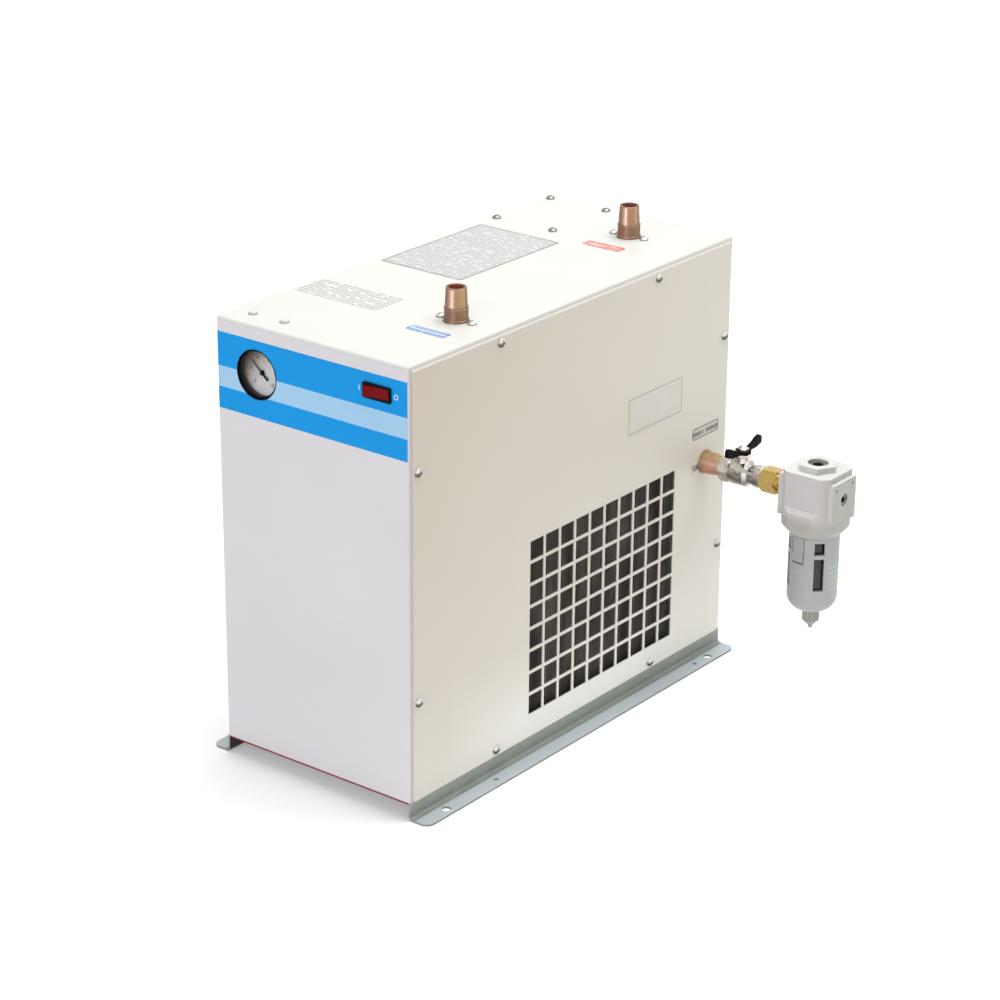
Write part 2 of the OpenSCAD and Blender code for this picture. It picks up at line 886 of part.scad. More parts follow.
module gauge_case() {
    lens_r = dial_r + gauge_wall / 2;
    color("#181818") on_front(gauge_x, gauge_z) difference() {
        translate([0, 0, -gauge_depth]) cylinder(d = gauge_d, h = gauge_depth + gauge_rim);
        translate([0, 0, dial_z - dial_t]) cylinder(r = dial_r, h = gauge_depth);
        translate([0, 0, lens_z]) cylinder(r = lens_r, h = lens_t + 1);
        translate([0, 0, dial_z - dial_t - 3]) cylinder(r = pivot_r + run, h = 4);
    }
}

module gauge_dial() {
    color("whitesmoke") on_front(gauge_x, gauge_z) difference() {
        translate([0, 0, dial_z - dial_t]) cylinder(r = dial_r - fit, h = dial_t);
        translate([0, 0, dial_z - dial_t - 1]) cylinder(r = pivot_r + run, h = dial_t + 2);
    }
}

module gauge_needle() {
    root_w = 1.5;
    tip_w = 0.5;
    tail_w2 = 2.6;
    color("#202020") on_front(gauge_x, gauge_z) {
        translate([0, 0, dial_z + needle_lift]) linear_extrude(needle_t) rotate(needle_angle)
            polygon([
                [-tail_l, -tail_w2 / 2], [0, -root_w / 2], [pointer_l, -tip_w / 2],
                [pointer_l, tip_w / 2], [0, root_w / 2], [-tail_l, tail_w2 / 2]
            ]);
        translate([0, 0, dial_z + gap]) cylinder(d = hub_d, h = needle_lift + needle_t);
        translate([0, 0, dial_z - dial_t - 2]) cylinder(r = pivot_r, h = dial_t + 2 + gap);
    }
}

module gauge_lens() {
    color("lightcyan", 0.3) on_front(gauge_x, gauge_z)
        translate([0, 0, lens_z]) cylinder(r = dial_r + gauge_wall / 2 - fit, h = lens_t);
}

bracket_t = 2;
socket_hex = 14;
socket_hex_l = 8;
socket_l = 10;
socket_r = 6.4;
socket_end_y = front_y + gauge_depth + bracket_t + socket_hex_l + socket_l;

module gauge_socket() {
    color("goldenrod") on_front(gauge_x, gauge_z) translate([0, 0, -gauge_depth]) mirror([0, 0, 1]) {
        cylinder(r = socket_r, h = bracket_t);
        translate([0, 0, bracket_t]) linear_extrude(socket_hex_l) hexagon(socket_hex);
        translate([0, 0, bracket_t + socket_hex_l]) cylinder(r = socket_r, h = socket_l);
    }
}

// Angle bracket that hangs from the top cover and holds the gauge by its socket
module gauge_bracket() {
    w = dome_spacing + 16;
    plate_y = front_y + gauge_depth;
    shelf = 18;
    drop = gauge_from_top + 14;
    color("lightgray") difference() {
        translate([gauge_x + dome_shift - w / 2, 0, 0]) {
            translate([0, plate_y, under_top - drop]) cube([w, bracket_t, drop]);
            translate([0, plate_y - shelf, under_top - bracket_t]) cube([w, shelf, bracket_t]);
        }
        on_front(gauge_x, gauge_z) translate([0, 0, -gauge_depth - bracket_t - 1])
            cylinder(r = socket_r + fit, h = bracket_t + 2);
        dome_places() shank_hole(shank_l + 1);
    }
}

module gauge_tube() {
    tap_y = exch_y0 - 70;
    tube_d = 6;
    color("peru") pipe([
        [gauge_x, socket_end_y, gauge_z],
        [gauge_x, tap_y, gauge_z],
        [gauge_x, tap_y, outlet_run_z],
        [outlet_run_x - air_pipe_d / 2, tap_y, outlet_run_z]
    ], tube_d, tube_d - 2, 8);
}

// Rocker switch; local x runs along the rocker, local z runs out of the front face

rocker_pivot_z = film_t + 0.6;
rocker_pin_r = 1.2;
rocker_pin_l = switch_body_h - 2 * hole_gap;
rocker_sweep = sqrt(pow(rocker_l / 2, 2) + pow(rocker_l / 2 * tan(rocker_slope) + 1, 2)) + 0.3;
switch_body_l = 22;

module switch_housing() {
    bezel_t = 2;
    color("#151515") on_front(switch_x, switch_z) difference() {
        union() {
            translate([0, 0, film_t]) linear_extrude(bezel_t) round_rect(bezel_l, bezel_h, 1.5);
            translate([0, 0, film_t - switch_body_l]) linear_extrude(switch_body_l)
                square([switch_body_w, switch_body_h], center = true);
        }
        translate([-rocker_sweep, -rocker_h / 2 - hole_gap, -7])
            cube([2 * rocker_sweep, rocker_h + 2 * hole_gap, 12]);
        translate([0, 0, rocker_pivot_z]) rotate([90, 0, 0])
            cylinder(r = rocker_pin_r + run, h = rocker_pin_l + hole_gap, center = true);
    }
}

module switch_rocker() {
    half = rocker_l / 2;
    rise = half * tan(rocker_slope);
    crown = 1;
    color("darkred") on_front(switch_x, switch_z) translate([0, 0, rocker_pivot_z])
        rotate([90, rocker_slope, 0]) {
            linear_extrude(rocker_h, center = true) polygon([
                [-half, crown + rise], [-half, -1], [-4, -4], [4, -4], [half, -1],
                [half, crown + rise], [0, crown]
            ]);
            cylinder(r = rocker_pin_r, h = rocker_pin_l, center = true);
        }
}

// Drain line: shut-off valve and adapter; local z runs along the pipe, local y runs up

tail_neck_r = 10.2;
tail_neck_l = 5;
stem_r = 3.4;
stem_tip_r = 2.8;
tang_t = 3;
tang_in = 2.6;
gland_neck_r = 5.4;
gland_neck_l = 4;
gland_hex = 13;
gland_hex_l = 3;
handle_up = boss_up + gland_hex_l + gap;
handle_t = 3.4;
wing_t = 4;
nut_hex = 10;
nut_hex_l = 2.4;
stub_big_r = 8.3;
stub_in = 9;
stub_small_r = 6.6;

module hex_bar(af, l) {
    r = af / 2 / cos(30);
    c = r - af / 2;
    intersection() {
        linear_extrude(l) hexagon(af);
        rotate_extrude() polygon([
            [0, 0], [r - c, 0], [r, c * tan(30)], [r, l - c * tan(30)], [r - c, l], [0, l]
        ]);
    }
}

module bevel_bar(d, l, c) {
    rotate_extrude() polygon([
        [0, 0], [d / 2 - c, 0], [d / 2, c], [d / 2, l - c], [d / 2 - c, l], [0, l]
    ]);
}

// Local z runs up the valve stem from the pipe axis
module on_stem() {
    on_drain() translate([0, 0, ball_w]) rotate([-90, 0, 0]) children();
}

module valve_body() {
    boss_d = 15.5;
    body_bevel = (valve_round_d - tailpiece_d) / 2 + 1.2;
    color("lightsteelblue") difference() {
        union() {
            on_drain() translate([0, 0, valve_w]) hex_bar(valve_hex, valve_hex_l);
            on_drain() translate([0, 0, round_w]) bevel_bar(valve_round_d, valve_round_l, body_bevel);
            on_stem() cylinder(d = boss_d, h = boss_up);
        }
        on_drain() {
            translate([0, 0, valve_w - 1]) cylinder(d = thread_big_d + 2 * fit, h = thread_in + 1);
            translate([0, 0, valve_w]) cylinder(d = valve_bore_d, h = valve_hex_l + valve_round_l + 1);
            translate([0, 0, ball_w]) sphere(ball_d / 2 + gap);
            translate([0, 0, tail_w - tail_neck_l]) cylinder(r = tail_neck_r + fit, h = tail_neck_l + 1);
        }
        on_stem() {
            cylinder(r = stem_r + run, h = boss_up + 1);
            translate([0, 0, boss_up - gland_neck_l]) cylinder(r = gland_neck_r + fit, h = gland_neck_l + 1);
        }
    }
}

module valve_tailpiece() {
    collar_l2 = 9;
    color("lightsteelblue") on_drain() difference() {
        union() {
            translate([0, 0, tail_w - tail_neck_l]) cylinder(r = tail_neck_r, h = tail_neck_l);
            translate([0, 0, tail_w]) cylinder(d = tailpiece_d - 2.4, h = tailpiece_l - 1);
            translate([0, 0, adapter_w - collar_l2]) bevel_bar(tailpiece_d, collar_l2, 0.8);
        }
        translate([0, 0, tail_w - tail_neck_l - 1])
            cylinder(d = valve_bore_d, h = tailpiece_l + tail_neck_l + 2);
        translate([0, 0, adapter_w - stub_in]) cylinder(r = stub_big_r + fit, h = stub_in + 1);
        translate([0, 0, ball_w]) sphere(ball_d / 2 + gap);
    }
}

// The ball's bore lies across the pipe, so the valve is shut
module valve_ball() {
    color("silver") on_drain() translate([0, 0, ball_w]) difference() {
        rotate([0, 90, 0]) rotate_extrude() intersection() {
            circle(d = ball_d);
            translate([valve_bore_d / 2, -ball_d / 2]) square(ball_d);
        }
        translate([-ball_d / 2, ball_d / 2 - tang_in, -tang_t / 2 - fit])
            cube([ball_d, tang_in + 1, tang_t + 2 * fit]);
    }
}

module valve_stem() {
    foot = ball_d / 2 - tang_in;
    collar = ball_d / 2 + 0.2;
    top = handle_up + handle_t + nut_hex_l - 0.2;
    color("silver") on_stem() {
        intersection() {
            translate([0, 0, foot]) cylinder(r = stem_r, h = collar - foot + 1);
            translate([-stem_r, -tang_t / 2, foot]) cube([2 * stem_r, tang_t, collar - foot + 1]);
        }
        translate([0, 0, collar]) cylinder(r = stem_r, h = handle_up - collar);
        translate([0, 0, handle_up]) cylinder(r = stem_tip_r, h = top - handle_up);
    }
}

module valve_gland() {
    color("silver") on_stem() difference() {
        union() {
            translate([0, 0, boss_up - gland_neck_l]) cylinder(r = gland_neck_r, h = gland_neck_l);
            translate([0, 0, boss_up]) hex_bar(gland_hex, gland_hex_l);
        }
        translate([0, 0, boss_up - gland_neck_l - 1])
            cylinder(r = stem_r + run, h = gland_neck_l + gland_hex_l + 2);
    }
}

// One wing of the handle, in the plane of the stem and the wing
module wing_shape() {
    tip = handle_span / 2;
    tip_r = 3;
    polygon([
        [5, 0], [tip - 9, 0.6], [tip - 1, 3], [tip, 4], [tip, 8.6],
        [tip - 3, 11.6], [tip - 8, 10.4], [tip / 2, 6.5], [7.4, handle_t + 0.8]
    ]);
    translate([tip - tip_r, 8.6]) circle(tip_r);
}

module valve_handle() {
    hub_d2 = 16;
    color("#1c1c1c") on_drain() translate([0, handle_up, ball_w]) difference() {
        union() {
            rotate([-90, 0, 0]) cylinder(d = hub_d2, h = handle_t);
            for (a = [0, 180])
                rotate([0, a, 0]) linear_extrude(wing_t, center = true) wing_shape();
        }
        translate([0, -1, 0]) rotate([-90, 0, 0]) cylinder(r = stem_tip_r + fit, h = handle_t + 2);
    }
}

module handle_nut() {
    crown_h = 2.6;
    color("gainsboro") on_stem() translate([0, 0, handle_up + handle_t]) difference() {
        union() {
            linear_extrude(nut_hex_l) hexagon(nut_hex);
            translate([0, 0, nut_hex_l]) cap(nut_hex - 0.4, crown_h);
        }
        translate([0, 0, -1]) cylinder(r = stem_tip_r + fit, h = nut_hex_l + 1);
    }
}

module hex_adapter() {
    bore = 8;
    shoulder_r = 8.8;
    color("gold") on_drain() difference() {
        union() {
            translate([0, 0, adapter_w - stub_in]) cylinder(r = stub_big_r, h = stub_in);
            translate([0, 0, adapter_w]) hex_bar(adapter_hex, adapter_l);
            translate([0, 0, shoulder_w]) cylinder(r = shoulder_r, h = head_gap);
            translate([0, 0, pad_w]) cylinder(r = stub_small_r, h = stub_in);
        }
        translate([0, 0, adapter_w - stub_in - 1])
            cylinder(d = bore, h = pad_w - adapter_w + 2 * stub_in + 2);
    }
}

// Float drain

plug_r = 10.2;
plug_l = 10;
plug_in = 6;
boss_hex = 34.5;
boss_h = 6;
chamber_r = 16;
bay_r = neck_r + hole_gap;
groove_r = lug_r + hole_gap;
pad_up = head_up - 6;
pad_down = flat_down + 8;
pad_over = 1;
ledge_h = 4.5;
ledge_out = 4;
collar_flat_w = head_flat_w + 2 * ledge_out;
window_top = 4.2;
window_upper_h = 12.6;
window_bar = 4.2;
window_lower_h = 34.2;
button_w = 13;
button_at = -8;
button_t = 2.2;
button_top = collar_z - 0.8;
button_h = 24;
button_lip = 2.4;
button_lip_h = 12;
button_gap = 1.2;

module head_port(s) {
    passage_r = 4;
    translate([s * (head_flat_w / 2 + pad_out + 1), 0, drain_z]) rotate([0, -s * 90, 0]) {
        cylinder(r = stub_small_r + fit, h = stub_in + 1);
        cylinder(r = passage_r, h = head_flat_w / 2 + pad_out);
    }
}

module lug_ring(r0, r1, z, h, turn, at) {
    for (i = [0 : 3])
        translate([0, 0, z]) rotate(at + i * 90 - turn / 2)
            rotate_extrude(angle = turn) translate([r0, 0]) square([r1 - r0, h]);
}

// Wedge whose sloping faces run up from the collar's flats to two flats of the head
module ledge_wedge() {
    rise = ledge_h + 1;
    top_w = collar_flat_w - 2 * ledge_out * rise / ledge_h;
    rotate([90, 0, 0]) linear_extrude(collar_d + 2, center = true) polygon([
        [-collar_flat_w / 2, 0], [collar_flat_w / 2, 0], [top_w / 2, rise], [-top_w / 2, rise]
    ]);
}

module drain_head() {
    pad_hole = 3.2;
    pad_hole_y = 14.8;
    pad_corner = sqrt(pow(head_round_d / 2, 2) - pow(head_flat_w / 2, 2));
    bay_top = neck_top + bowl_rim_h + gap;
    color("gainsboro") on_head() difference() {
        union() {
            translate([0, 0, flat_z]) linear_extrude(head_top - flat_z) intersection() {
                circle(d = head_round_d);
                square(head_flat_w, center = true);
            }
            translate([0, 0, flat_z]) intersection() {
                cylinder(d = collar_d, h = ledge_h + 1);
                ledge_wedge();
                rotate(90) ledge_wedge();
            }
            translate([0, 0, collar_z]) intersection() {
                union() {
                    translate([0, 0, collar_bevel]) cylinder(d = collar_d, h = collar_l - collar_bevel);
                    cylinder(d1 = guard_d + 1, d2 = collar_d, h = collar_bevel);
                }
                cube([collar_flat_w, collar_flat_w, 2 * collar_l], center = true);
            }
            translate([0, 0, drain_z + (pad_up - pad_down) / 2])
                cube([head_flat_w + 2 * pad_out, 2 * (pad_corner + pad_over), pad_up + pad_down], center = true);
            translate([0, 0, head_top]) linear_extrude(boss_h) hexagon(boss_hex);
        }
        translate([0, 0, collar_z - 1]) cylinder(r = bay_r, h = bay_top - collar_z + 1);
        translate([0, 0, lug_z - run]) cylinder(r = groove_r, h = lug_h + gap);
        lug_ring(0, lug_r + gap / 2, collar_z - 1, lug_z - collar_z + 2, lug_turn + 6, bowl_turn);
        translate([0, 0, bay_top - 1]) cylinder(r = chamber_r, h = drain_z + 6 - bay_top + 1);
        translate([0, 0, head_top - plug_in]) cylinder(r = plug_r + fit, h = boss_h + plug_in + 1);
        for (s = [-1, 1]) head_port(s);
        for (s = [-1, 1], t = [-1, 1])
            translate([s * (head_flat_w / 2 + pad_out), t * pad_hole_y, drain_z + pad_up - 6])
                rotate([0, 90, 0]) cylinder(d = pad_hole, h = 10, center = true);
    }
}

module socket_plug(r, l, key) {
    difference() {
        cylinder(r = r, h = l);
        translate([0, 0, l * 0.45]) linear_extrude(l) hexagon(key);
    }
}

module port_plugs() {
    side_l = 7.5;
    color("dimgray") on_head() {
        translate([0, 0, head_top - plug_in]) socket_plug(plug_r, plug_l, 10);
        translate([head_flat_w / 2 + pad_out - stub_in, 0, drain_z]) rotate([0, 90, 0])
            socket_plug(stub_small_r, side_l, 6);
    }
}

// Half section of a round-bottomed pot
module pot_section(r, z0, z1, rb) {
    translate([0, z0 + rb]) square([r, z1 - z0 - rb]);
    translate([0, z0]) square([r - rb, rb + lap]);
    intersection() {
        translate([r - rb, z0 + rb]) circle(rb);
        translate([0, z0]) square([r, rb + lap]);
    }
}

module guard_windows() {
    lower_top = window_top + window_upper_h + window_bar;
    for (a = [45 : 90 : 315]) rotate(a) translate([guard_r, 0, collar_z]) {
        translate([0, 0, -window_top - window_upper_h / 2])
            cube([2 * guard_wall + 4, window_w, window_upper_h], center = true);
        translate([0, 0, -lower_top - window_lower_h / 2])
            cube([2 * guard_wall + 4, window_w, window_lower_h], center = true);
    }
}

// Pocket that the lock button slides in
module button_pocket() {
    z0 = button_top - button_h - button_travel - gap;
    run_cut = [button_w + 2 * run, guard_r - button_t - hole_gap];
    face_cut = [button_w + 2 * button_gap, guard_r - button_t / 2];
    rotate(button_at) for (cut = [run_cut, face_cut]) difference() {
        translate([-cut[0] / 2, -2 * guard_r, z0]) cube([cut[0], 2 * guard_r, collar_z - z0]);
        translate([0, 0, z0 - 1]) cylinder(r = cut[1], h = collar_z - z0 + 2);
    }
}

module bowl_guard() {
    shoulder = collar_z - gap;
    sink = 0.1;
    color("gainsboro") on_head() {
        difference() {
            rotate_extrude() pot_section(guard_r, guard_z, shoulder, guard_bottom_r);
            rotate_extrude() pot_section(
                guard_r - guard_wall, guard_z + guard_wall, shoulder + 1, guard_bottom_r - guard_wall
            );
            guard_windows();
            translate([0, 0, guard_z - 1]) cylinder(r = outlet_r + hole_gap, h = guard_wall + 2);
            button_pocket();
        }
        translate([0, 0, shoulder - sink]) linear_extrude(neck_top - shoulder + sink)
            ring_shape(2 * neck_r, 2 * (guard_r - guard_wall));
        lug_ring(neck_r - gap, lug_r, lug_z, lug_h, lug_turn, 0);
    }
}

module clear_bowl() {
    color("dimgray", 0.5) on_head() difference() {
        union() {
            rotate_extrude() pot_section(bowl_r, bowl_floor, neck_top + 0.5, guard_bottom_r - guard_wall);
            translate([0, 0, neck_top]) cylinder(r = neck_r - 0.2, h = bowl_rim_h);
            translate([0, 0, guard_z - gap]) cylinder(r = outlet_r, h = bowl_floor - guard_z + gap + 1);
        }
        rotate_extrude() pot_section(
            bowl_r - bowl_wall, bowl_floor + bowl_wall, neck_top + bowl_rim_h + 1,
            guard_bottom_r - guard_wall - bowl_wall
        );
        translate([0, 0, guard_z - 2])
            cylinder(r = knob_stem_r + run, h = bowl_floor - guard_z + bowl_wall + 3);
    }
}

// Sector of the guard's wall with a lip for the thumb
module lock_button() {
    z0 = button_top - button_h;
    color("gainsboro") on_head() rotate(button_at) intersection() {
        difference() {
            union() {
                translate([0, 0, z0]) cylinder(r = guard_r, h = button_h);
                translate([0, 0, z0]) cylinder(r1 = guard_r + button_lip, r2 = guard_r, h = button_lip_h);
            }
            translate([0, 0, z0 - 1]) cylinder(r = guard_r - button_t, h = button_h + 2);
        }
        translate([-button_w / 2, -2 * guard_r, z0 - 1]) cube([button_w, 2 * guard_r, button_h + 2]);
    }
}

module float() {
    floor_z = bowl_floor + bowl_wall;
    float_r = bowl_r - bowl_wall - 6;
    foot_r = bowl_r - guard_bottom_r + guard_wall - gap;
    bore_r = 4.5;
    cone_h = 7;
    body_h = 30;
    color("whitesmoke") on_head() difference() {
        union() {
            translate([0, 0, floor_z]) cylinder(r1 = foot_r, r2 = float_r, h = cone_h);
            translate([0, 0, floor_z + cone_h]) cylinder(r = float_r, h = body_h);
        }
        translate([0, 0, floor_z - 1]) cylinder(r = bore_r, h = body_h + cone_h + 2);
    }
}

module drain_cock() {
    top = guard_z - 2 * gap;
    flutes = 12;
    flute_r = 1.3;
    cone_h = 4;
    tip_r = 3.2;
    tip_h = 5;
    color("darkgray") on_head() difference() {
        union() {
            translate([0, 0, top - knob_l]) cylinder(d = knob_d, h = knob_l);
            translate([0, 0, top - knob_l - cone_h]) cylinder(r1 = tip_r + 1.5, d2 = knob_d, h = cone_h);
            translate([0, 0, top - knob_l - cone_h - tip_h])
                cylinder(r1 = tip_r - 1.4, r2 = tip_r, h = tip_h);
            translate([0, 0, top]) cylinder(r = knob_stem_r, h = bowl_floor + bowl_wall - top + 1.5);
        }
        for (i = [0 : flutes - 1]) rotate(i * 360 / flutes)
            translate([knob_d / 2 + flute_r / 4, 0, top - knob_l - cone_h])
                cylinder(r = flute_r, h = knob_l + cone_h - flute_r);
        translate([0, 0, top - knob_l - cone_h - tip_h - 1]) cylinder(r = 1.1, h = tip_h + cone_h);
    }
}

// Condenser and fan

function tube_row(i) = row_low + i * tube_pitch;

module condenser_fins() {
    count = floor((cond_l - 2) / fin_pitch);
    start = grille_y - (count - 1) * fin_pitch / 2;
    color("#3a3a3a") for (i = [0 : count - 1])
        translate([cond_xc, start + i * fin_pitch + fin_t / 2, 0]) rotate([90, 0, 0]) linear_extrude(fin_t)
            difference() {
                translate([0, cond_z0 + cond_h / 2]) square([cond_t - 2, cond_h], center = true);
                for (k = [0 : cond_tubes - 1]) translate([0, tube_row(k)]) circle(d = cond_tube_d + 2 * fit);
            }
}

module hairpin(y, k, s) {
    multmatrix(axes([cond_xc, y, (tube_row(k) + tube_row(k + 1)) / 2], [0, 0, -1], [0, s, 0], [s, 0, 0]))
        rotate_extrude(angle = 180) translate([tube_pitch / 2, 0])
            ring_shape(cond_tube_d, cond_tube_d - 2 * tube_wall);
}

module condenser_tubes() {
    y0 = cond_y0 - frame_t - tube_out;
    y1 = cond_y1 + frame_t + tube_out;
    color("peru") {
        for (k = [0 : cond_tubes - 1])
            straight(
                [cond_xc, k == 0 || k == cond_tubes - 1 ? cond_in_y : y0, tube_row(k)],
                [cond_xc, y1, tube_row(k)], cond_tube_d, cond_tube_d - 2 * tube_wall
            );
        for (k = [0 : 2 : cond_tubes - 2]) hairpin(y1, k, 1);
        for (k = [1 : 2 : cond_tubes - 3]) hairpin(y0, k, -1);
    }
}

module condenser_frame() {
    l = cond_l + 2 * frame_t;
    h = cond_h + 2 * frame_t;
    leg_h = cond_z0 - frame_t - base_top;
    foot_l = 16;
    color("lightgray") difference() {
        translate([cond_x0, 0, 0]) rotate([90, 0, 90]) linear_extrude(cond_t) {
            translate([grille_y, cond_z0 + cond_h / 2]) difference() {
                square([l, h], center = true);
                square([cond_l, cond_h], center = true);
            }
            for (s = [-1, 1]) translate([grille_y + s * (l - frame_t) / 2, base_top]) {
                translate([-frame_t / 2, 0]) square([frame_t, leg_h + lap]);
                translate([s > 0 ? -foot_l : 0, 0]) square([foot_l, frame_t]);
            }
        }
        for (k = [0 : cond_tubes - 1]) translate([cond_xc, grille_y, tube_row(k)]) rotate([90, 0, 0])
            cylinder(d = cond_tube_d + 2 * fit, h = l + 2, center = true);
    }
}

module fan_shroud() {
    l = cond_l + 2 * frame_t;
    h = cond_h + 2 * frame_t;
    wall = 1.2;
    color("lightgray") translate([shroud_x, grille_y, cond_z0 + cond_h / 2]) rotate([90, 0, 90]) {
        linear_extrude(wall) difference() {
            square([l, h], center = true);
            circle(ring_r);
        }
        linear_extrude(shroud_d) difference() {
            square([l, h], center = true);
            square([l - 2 * wall, h - 2 * wall], center = true);
        }
        translate([0, 0, -ring_l]) linear_extrude(ring_l + wall) ring_shape(2 * (ring_r + wall), 2 * ring_r);
    }
}

module blade_shape() {
    intersection() {
        circle(fan_d / 2);
        translate([hub_r - 5, -blade_w / 2]) square([fan_d, blade_w]);
        translate([fan_d * 0.3, 0]) circle(fan_d * 0.27);
    }
}

module fan_rotor() {
    blade_t = 1.6;
    shaft_in = 16;
    back = fan_x - strap_x;
    color("#303030") on_fan() {
        translate([0, 0, -hub_l / 2]) cylinder(r = hub_r, h = hub_l);
        translate([0, 0, hub_l / 2]) cap(2 * hub_r, 6);
        for (i = [0 : fan_blades - 1]) rotate(i * 360 / fan_blades)
            rotate([blade_pitch, 0, 0]) linear_extrude(blade_t, center = true) blade_shape();
        translate([0, 0, -back - shaft_in]) cylinder(r = shaft_r, h = back + shaft_in);
    }
}

module fan_motor() {
    bore_l = 22;
    back = fan_x - strap_x;
    color("#454545") on_fan() difference() {
        union() {
            translate([0, 0, -back - strap_t - motor_l]) bevel_bar(motor_d, motor_l, 3);
            translate([0, 0, -back - strap_t]) cylinder(r = motor_boss_r, h = strap_t);
        }
        translate([0, 0, -back - strap_t - bore_l]) cylinder(r = shaft_r + run, h = bore_l + strap_t + 1);
    }
}

module fan_bracket() {
    strap_w = 32;
    foot_l = 8;
    reach = fan_x - strap_x + strap_t;
    color("silver") on_fan() difference() {
        union() {
            translate([-strap_reach, -strap_w / 2, -reach]) cube([2 * strap_reach, strap_w, strap_t]);
            for (s = [-1, 1]) translate([s * (strap_reach - strap_t / 2), 0, -reach / 2])
                cube([strap_t, strap_w, reach], center = true);
            for (s = [-1, 1]) translate([s * (strap_reach - foot_l / 2), 0, -strap_t / 2])
                cube([foot_l, strap_w, strap_t], center = true);
        }
        translate([0, 0, -reach - 1]) cylinder(r = motor_boss_r + fit, h = strap_t + 2);
    }
}

// Compressor

module comp_foot_places() {
    for (sx = [-1, 1], sy = [-1, 1]) translate([sx * comp_foot_x, sy * comp_foot_y, 0]) children();
}

// Welded shell with its seam flange
module compressor_shell() {
    seam_h = 4;
    seam_out = 2.5;
    seam_part = 0.62;
    translate([0, 0, comp_z]) cylinder(d = comp_d, h = comp_body_h);
    translate([0, 0, comp_z + comp_body_h]) cap(comp_d, comp_dome);
    translate([0, 0, comp_z + comp_body_h * seam_part]) cylinder(d = comp_d + 2 * seam_out, h = seam_h);
}

module compressor() {
    ear_r = 12;
    color("#202428") on_comp() difference() {
        union() {
            compressor_shell();
            translate([0, 0, comp_plate_z]) linear_extrude(plate_t)
                round_rect(2 * (comp_foot_x + ear_r), 2 * (comp_foot_y + ear_r), ear_r);
            for (s = [-1, 1]) translate([s * stub_out, 0, comp_z + comp_body_h])
                cylinder(r = stub_r, h = stub_z - comp_z - comp_body_h);
        }
        comp_foot_places() translate([0, 0, comp_plate_z - 1])
            cylinder(r = rubber_neck_r + fit, h = plate_t + 2);
    }
}

module compressor_feet() {
    cap_h = 4;
    bolt_r = 3.2;
    color("#151515") on_comp() comp_foot_places() difference() {
        union() {
            translate([0, 0, base_top]) cylinder(r = rubber_r, h = rubber_h);
            translate([0, 0, base_top]) cylinder(r = rubber_neck_r, h = rubber_h + plate_t + cap_h);
            translate([0, 0, comp_z]) cylinder(r = rubber_r - 1.5, h = cap_h);
        }
        translate([0, 0, base_top - 1]) cylinder(r = bolt_r, h = rubber_h + plate_t + cap_h + 2);
    }
}

module terminal_cover() {
    w = 52;
    out = 18;
    h = 58;
    corner_r = 6;
    lift = 42;
    z = comp_z + lift;
    color("#2a2a2a") on_comp() difference() {
        translate([0, comp_d / 2 + out, z + h / 2]) rotate([90, 0, 0])
            linear_extrude(comp_d / 4 + out) round_rect(w, h, corner_r);
        compressor_shell();
    }
}

// Heat exchanger and pipes

module heat_exchanger() {
    color("#2b2b2b") translate([(exch_x0 + exch_x1) / 2, exch_y1, (exch_z0 + exch_z1) / 2])
        rotate([90, 0, 0]) linear_extrude(exch_l) round_rect(exch_w, exch_z1 - exch_z0, exch_r);
}

module exchanger_hanger() {
    plate_w = 2 * (hanger_x + ret_x - bend_r);
    plate_l = hanger_sy + 12;
    t = 2;
    leg_y = 30;
    color("lightgray") difference() {
        union() {
            translate([hanger_x, hanger_y, under_top - t / 2]) cube([plate_w, plate_l, t], center = true);
            for (s = [-1, 1]) translate([hanger_x, hanger_y + s * leg_y, (exch_z1 + under_top) / 2])
                cube([plate_w - 24, t, hanger_h], center = true);
        }
        hanger_places() shank_hole(shank_l + 1);
    }
}

module inlet_pipe() {
    color("peru") pipe([
        [inlet_x, inlet_y, cab_h - nipple_in],
        [inlet_x, inlet_y, inlet_run_z],
        [exch_x1, inlet_y, inlet_run_z]
    ], air_pipe_d, air_pipe_d - 2 * air_wall, pipe_bend);
}

module outlet_pipe() {
    color("peru") pipe([
        [outlet_run_x, exch_y0, outlet_run_z],
        [outlet_run_x, outlet_y, outlet_run_z],
        [outlet_x, outlet_y, outlet_run_z],
        [outlet_x, outlet_y, cab_h - nipple_in]
    ], air_pipe_d, air_pipe_d - 2 * air_wall, pipe_bend);
}

module drain_pipe() {
    color("peru") pipe([
        [drain_drop_x, drain_y, exch_z0],
        [drain_drop_x, drain_y, drain_z],
        [side_x - nipple_in, drain_y, drain_z]
    ], air_pipe_d, air_pipe_d - 2 * air_wall, pipe_bend);
}

module gas_pipe(pts, d = gas_pipe_d) {
    pipe(pts, d, d - min(2 * tube_wall, d / 2), gas_bend);
}

